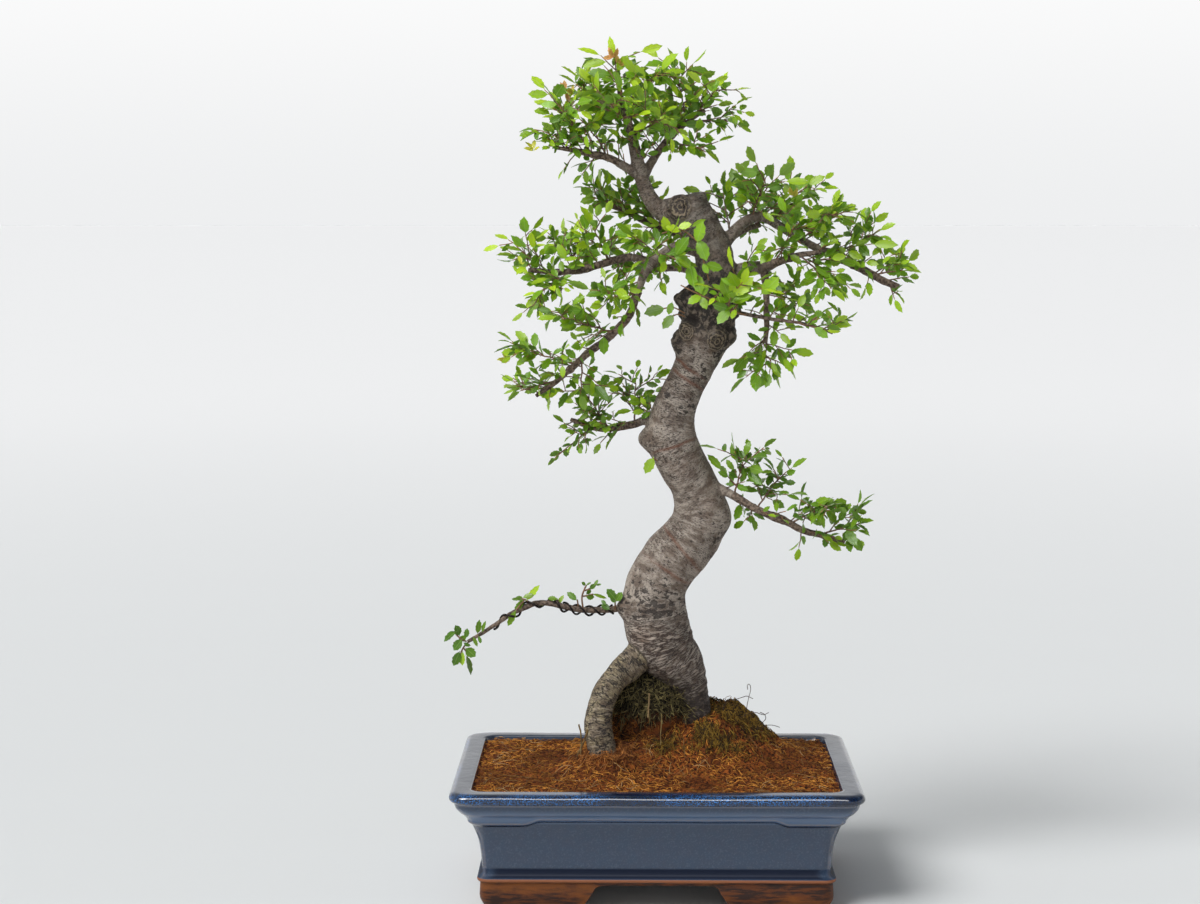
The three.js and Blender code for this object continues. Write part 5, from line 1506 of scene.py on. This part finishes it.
def pot_marks(points, normals):
    """Where the glaze is on the rim; where it pools, with painted shade under the panels' top step; and where it runs
    thin on the corners, with painted highlight lines along the ridges and under the lip.
    """
    x, y, z = points.T
    inset = np.minimum(RIM_WIDTH / 2 - np.abs(x), RIM_DEPTH / 2 - np.abs(y))
    front = np.abs(y) - RIM_DEPTH / 2 > np.abs(x) - RIM_WIDTH / 2
    nose = smooth(96.2, 97.6, z) * np.where(front, smooth(13, 10.5, inset), smooth(6, 3, inset))
    rim = smooth(103.2, 104.4, z) * (1 - nose)
    low = smooth(37.5, 35.5, z) * smooth(28.2, 29.2, z) * smooth(40, 30, inset)
    panel = np.where(front, panel_distance(x, z, FRONT_PANEL), panel_distance(y, z, SIDE_PANEL))
    outside = smooth(0.1, 0.3, np.hypot(*unit(normals)[:, :2].T)) * (inset < 34)
    # Painted shade, partly pooled glaze: a dark line just inside the panels' top edge, under its step
    panel_edge_pool_and_shade = smooth(-2.2, -1.0, panel) * smooth(0.6, -0.4, panel) * outside * (z > 60)
    corner = np.abs(np.abs(x) - RIM_WIDTH / 2 - np.abs(y) + RIM_DEPTH / 2)
    pool_and_painted_shade = np.clip(nose + low * smooth(6, 14, corner) + 0.75 * panel_edge_pool_and_shade, 0, 1)
    # Painted highlights: pale lines along the swell above the panels' top edge, along the small ridge 85.8 mm high
    # and along the underside of the lip
    ridge_highlight = smooth(0.6, 1.4, panel) * smooth(3.4, 2.2, panel) * (z > 60) * outside
    upper_highlight = np.exp(-((z - 85.8) / 0.9) ** 2) * outside * smooth(60, 100, np.where(front, np.abs(x), np.abs(y) + 40))
    # On the corners the glaze runs thin, and its pale colour there is partly a painted highlight
    edge = smooth(3.5, 1.0, corner) * (z > 24) * (z < 92) * (inset < 32)
    lip_highlight = smooth(94.4, 95.2, z) * smooth(96.6, 95.8, z) * outside
    # The pale zone: thin glaze on the corners, and painted highlight lines
    thin = np.clip(0.6 * ridge_highlight + 0.5 * upper_highlight + 0.45 * edge + 0.5 * lip_highlight, 0, 1)
    return np.stack([rim, pool_and_painted_shade, thin], axis=1)


def build_pot(settings):
    """The pot: one wall from the floor over the rim to the foot, with sunk panels, feet and drain holes."""
    levels = wall_levels()
    rings = []
    for inset, z in levels:
        corner = max(RIM_CORNER - inset * 0.28, 5)
        flat = rounded_ring(RIM_WIDTH / 2 - inset, RIM_DEPTH / 2 - inset, corner, 9, 130, 84)
        rings.append(np.column_stack([flat, np.full(len(flat), z)]))
    around = len(rings[0])
    outer = np.arange(len(levels)) > 14
    points = np.array(rings)
    for panel, across, along in ((FRONT_PANEL, 1, 0), (SIDE_PANEL, 0, 1)):
        away = panel_distance(points[..., along], points[..., 2], panel)
        half = (RIM_DEPTH if across == 1 else RIM_WIDTH) / 2
        facing = np.abs(points[..., across]) > half - 27
        sink = settings.panel_sink / MM * smooth(0.6, -1.6, away)
        swell = 0.8 * np.exp(-((away - 2.2) / 1.3) ** 2) * (points[..., 2] > 60)
        swell = swell + 0.35 * np.exp(-((points[..., 2] - 85.8) / 0.9) ** 2)
        inward = np.where(facing & outer[:, None], sink - swell, 0)
        points[..., across] -= np.sign(points[..., across]) * inward
    points = points.reshape(-1, 3)
    points[:, 2] += 0.35 * noise(points, 45, 11) * (points[:, 2] > 60)
    dull = glaze_material(settings, "worn_blue_glaze", roughness=0.6, gloss=0.2)
    materials = [glaze_material(settings), clay_material(settings), dull]
    shape = Shape()
    shape.add(points, closed_stack(len(levels), around))
    pot = shape.make("glazed_pot", materials, "glaze", rides=False)
    tools = [
        box_cutter("hollow", *UNDERSIDE, -5, FOOT_HEIGHT, materials),
        bar_cutter("front_gap", *FRONT_GAP, 2 * RIM_DEPTH, False, materials),
        bar_cutter("side_gap", *SIDE_GAP, 2 * RIM_WIDTH, True, materials),
        *[drain_cutter("drain_" + str(i), x, materials) for i, x in enumerate(DRAIN_HOLES)],
    ]
    for tool in tools:
        cut = pot.modifiers.new("cut", "BOOLEAN")
        cut.operation = "DIFFERENCE"
        cut.solver = "MANIFOLD"
        cut.object = tool
    mesh = apply_modifiers(pot)
    for tool in tools:
        bpy.data.objects.remove(tool)
    points, normals = points_of(mesh), normals_of(mesh)
    set_mark(mesh, "glaze_zone", pot_marks(points, normals))
    middles = np.empty(len(mesh.polygons) * 3, np.float32)
    mesh.polygons.foreach_get("center", middles)
    height = (middles.reshape(-1, 3)[:, 2] - POT_MIDDLE[2]) / MM
    finish = np.select([height < GLAZE_END, height < GROOVE_TOP], [1, 2], 0)
    mesh.polygons.foreach_set("material_index", finish.astype(np.int32))
    mesh.update()
    mesh.shade_smooth()
    mesh.set_sharp_from_angle(angle=POT_CREASE)
    dress(pot, ["pot"])
    for node in ("drain_screen_left", "drain_screen_right"):
        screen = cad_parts[node].data
        screen.materials.clear()
        screen.materials.append(screen_material())


# Stage

CAMERA_PLACE = (-19, -2172, 594)
CAMERA_PITCH = 5.6
CAMERA_YAW = 0.8
FOCAL_PIXELS = 2496
FRAME_PIXELS = 1200
SENSOR = 36


def floor_material(settings):
    """Matt painted board: a pale surface with painted light, lighter further out so that it meets the pale sky at the
    horizon.
    """
    material, shader, add = new_material("painted_board", Roughness=0.7, IOR=1.45)
    # Painted light: the board turns lighter from 0.3 m to 6 m out
    away = add("length", place(add))
    feed(shader, {"Base Color": add("mix", add("step", away, 300, 6000), settings.floor_colour, linear("#fafafa"))})
    return material


def add_light(name, place_mm, aim_mm, sides, power):
    """A long soft light that faces a point and only adds highlights."""
    lamp = bpy.data.lights.new(name, "AREA")
    lamp.shape = "RECTANGLE"
    lamp.size, lamp.size_y = sides
    lamp.energy = power
    light = bpy.data.objects.new(name, lamp)
    light.location = np.array(place_mm) * MM + POT_MIDDLE
    aim = Vector(np.array(aim_mm) * MM + POT_MIDDLE) - light.location
    light.rotation_euler = aim.to_track_quat("-Z", "Y").to_euler()
    light.visible_diffuse = False
    bpy.context.scene.collection.objects.link(light)


def build_stage(settings):
    """A pale floor, a pale sky, soft lights and the camera."""
    shape = Shape()
    reach = 80000
    square = [(-reach, -reach, 0), (reach, -reach, 0), (reach, reach, 0), (-reach, reach, 0)]
    shape.add(square, [np.array([[0, 1, 2, 3]])])
    floor = shape.make("floor", [floor_material(settings)], "glaze", rides=False)
    world = bpy.data.worlds.new("soft_room")
    bpy.context.scene.world = world
    world.use_nodes = True
    background = next(node for node in world.node_tree.nodes if node.type == "BACKGROUND")
    add = partial(add_node, world.node_tree)
    way = add("split", add("direction"))
    wall = add("mix", add("step", way["Z"], -0.01, 0.12), linear("#eeeff0"), linear("#fdfdfd"))
    above = add("mix", add("step", way["X"], -0.2, 0.6), settings.ceiling_colour, settings.far_side_colour)
    feed(background, {"Color": add("mix", add("step", way["Z"], 0.12, 0.5), wall, above)})
    add_light("lamp", (-300, -1500, 1750), (20, 0, 200), (2.6, 0.8), settings.key_power)
    lamp = bpy.data.lights.new("window", "SUN")
    lamp.energy = settings.window_light
    lamp.angle = math.radians(30)
    window = bpy.data.objects.new("window", lamp)
    window.rotation_euler = Vector((0.55, 0.5, -0.8)).to_track_quat("-Z", "Y").to_euler()
    bpy.context.scene.collection.objects.link(window)
    camera = bpy.data.cameras.new("camera")
    camera.sensor_width = SENSOR
    camera.lens = FOCAL_PIXELS / FRAME_PIXELS * SENSOR
    camera.clip_end = 200
    rig = bpy.data.objects.new("camera", camera)
    rig.location = np.array(CAMERA_PLACE) * MM + POT_MIDDLE
    rig.rotation_euler = (math.radians(90 - CAMERA_PITCH), 0, math.radians(CAMERA_YAW))
    bpy.context.scene.collection.objects.link(rig)
    bpy.context.scene.camera = rig
    bpy.context.scene.view_settings.view_transform = "Standard"


# The add-on

def colour_setting(name, description, hex_colour):
    return bpy.props.FloatVectorProperty(
        name=name, description=description, subtype="COLOR", size=4, min=0, max=1, default=linear(hex_colour),
    )


class PotSettings(bpy.types.PropertyGroup):
    """Sizes and colours of the pot."""

    glaze_colour: colour_setting("Glaze", "Colour of the glaze on the walls", "#29374d")
    rim_colour: colour_setting("Rim", "Colour of the glaze on the flat rim", "#3a4250")
    pool_colour: colour_setting("Pooled glaze", "Colour of the glaze where it is thick", "#08152c")
    clay_colour: colour_setting("Clay", "Colour of the bare foot", "#572a05")
    panel_sink: bpy.props.FloatProperty(
        name="Panel depth", description="How far the panels are sunk", default=1.5 * MM, min=0, unit="LENGTH",
    )


class TreeSettings(bpy.types.PropertyGroup):
    """Sizes and colours of the wood and the wires."""

    bark_tint: colour_setting("Bark tint", "Colour that the bark's pattern is multiplied by", "#ffffff")
    scar_colour: colour_setting("Scar", "Colour of the grooves that old wires left", "#6a3d26")
    root_colour: colour_setting("Root", "Colour of the arched root's bark", "#6a5b44")
    wire_colour: colour_setting("Wire", "Colour of the training wires", "#2c2320")
    skin_step: bpy.props.FloatProperty(
        name="Skin step", description="Size of the faces of the trunk's skin", default=1.42 * MM, min=0.8 * MM,
        unit="LENGTH",
    )


class FoliageSettings(bpy.types.PropertyGroup):
    """Colours of the leaves."""

    # The leaves are painted between these two greens, partly as painted light and shade
    leaf_colour: colour_setting("Leaf", "Colour of a grown leaf in the light", "#88bb18")
    deep_colour: colour_setting("Deep leaf", "Colour of the darkest leaves", "#2d570a")
    young_colour: colour_setting("Young leaf", "Colour of the newest leaves", "#b3d420")
    bud_colour: colour_setting("Bud leaf", "Colour of the leaves that have just opened at the top", "#e0a060")
    fullness: bpy.props.FloatProperty(
        name="Fullness", description="How many twiglets fill the sprays out", default=0.8, min=0, max=3,
    )


class SoilSettings(bpy.types.PropertyGroup):
    """Amounts and colours of what lies on the soil."""

    soil_colour: colour_setting("Soil", "Colour of the soil's crumbs", "#9a5422")
    coir_colour: colour_setting("Coir", "Colour of the lightest coir fibres", "#ffb04c")
    moss_colour: colour_setting("Moss", "Colour of the lightest moss", "#a8822f")
    fibres: bpy.props.IntProperty(name="Fibres", description="How many coir fibres there are", default=8600, min=0)
    moss_blades: bpy.props.IntProperty(
        name="Moss", description="How many blades of moss there are", default=2600, min=0,
    )


class StageSettings(bpy.types.PropertyGroup):
    """Light and floor."""

    floor_colour: colour_setting("Floor", "Colour of the floor", "#e6e8e8")
    ceiling_colour: colour_setting("Ceiling", "Colour of the room above the pale walls", "#a6a8aa")
    far_side_colour: colour_setting(
        "Far side", "Colour of the room above, on the side away from the window", "#45484c",
    )
    window_light: bpy.props.FloatProperty(
        name="Window", description="Strength of the broad main light", default=2.52, min=0,
    )
    key_power: bpy.props.FloatProperty(
        name="Lamp", description="Power of the lamp that gives the highlights", default=55, min=0, unit="POWER",
    )


class BONSAI_OT_pot(bpy.types.Operator):
    """Build the glazed pot over its solid"""

    bl_idname = "bonsai.pot"
    bl_label = "Pot"

    def execute(self, context):
        build_pot(context.scene.bonsai_pot)
        return {"FINISHED"}


class BONSAI_OT_wood(bpy.types.Operator):
    """Build the trunk, the arched root and the limbs"""

    bl_idname = "bonsai.wood"
    bl_label = "Wood"

    def execute(self, context):
        material = build_trunk(context.scene.bonsai_tree)
        build_limbs(material)
        return {"FINISHED"}


class BONSAI_OT_wires(bpy.types.Operator):
    """Wind the training wires round the low limb"""

    bl_idname = "bonsai.wires"
    bl_label = "Wires"

    def execute(self, context):
        build_wires(context.scene.bonsai_tree)
        return {"FINISHED"}


class BONSAI_OT_foliage(bpy.types.Operator):
    """Grow the twigs and leaves of every spray"""

    bl_idname = "bonsai.foliage"
    bl_label = "Foliage"

    def execute(self, context):
        build_foliage(context.scene.bonsai_foliage)
        return {"FINISHED"}


class BONSAI_OT_soil(bpy.types.Operator):
    """Lay the soil, its fibres, moss and stalks"""

    bl_idname = "bonsai.soil"
    bl_label = "Soil"

    def execute(self, context):
        settings = context.scene.bonsai_soil
        build_soil(settings)
        build_fibres(settings)
        build_moss(settings)
        build_stalks()
        return {"FINISHED"}


class BONSAI_OT_stage(bpy.types.Operator):
    """Set up the floor, the lights and the camera"""

    bl_idname = "bonsai.stage"
    bl_label = "Stage"

    def execute(self, context):
        build_stage(context.scene.bonsai_stage)
        return {"FINISHED"}


OPERATORS = (
    BONSAI_OT_stage, BONSAI_OT_pot, BONSAI_OT_soil, BONSAI_OT_wood, BONSAI_OT_wires, BONSAI_OT_foliage,
)
SETTINGS = {
    "bonsai_pot": PotSettings, "bonsai_tree": TreeSettings, "bonsai_foliage": FoliageSettings,
    "bonsai_soil": SoilSettings, "bonsai_stage": StageSettings,
}


class BONSAI_PT_panel(bpy.types.Panel):
    """Lists the settings and the steps of the build."""

    bl_label = "Bonsai"
    bl_idname = "BONSAI_PT_panel"
    bl_space_type = "VIEW_3D"
    bl_region_type = "UI"
    bl_category = "Bonsai"

    def draw(self, context):
        for group, kind in SETTINGS.items():
            box = self.layout.box()
            for name in kind.__annotations__:
                box.prop(getattr(context.scene, group), name)
        for operator in OPERATORS:
            self.layout.operator(operator.bl_idname)


def register():
    for kind in (*SETTINGS.values(), *OPERATORS, BONSAI_PT_panel):
        bpy.utils.register_class(kind)
    for name, kind in SETTINGS.items():
        setattr(bpy.types.Scene, name, bpy.props.PointerProperty(type=kind))


def unregister():
    for name in SETTINGS:
        delattr(bpy.types.Scene, name)
    for kind in (BONSAI_PT_panel, *OPERATORS[::-1], *list(SETTINGS.values())[::-1]):
        bpy.utils.unregister_class(kind)


def main():
    register()
    for operator in OPERATORS:
        group, name = operator.bl_idname.split(".")
        getattr(getattr(bpy.ops, group), name)()


if __name__ == "__main__":
    main()
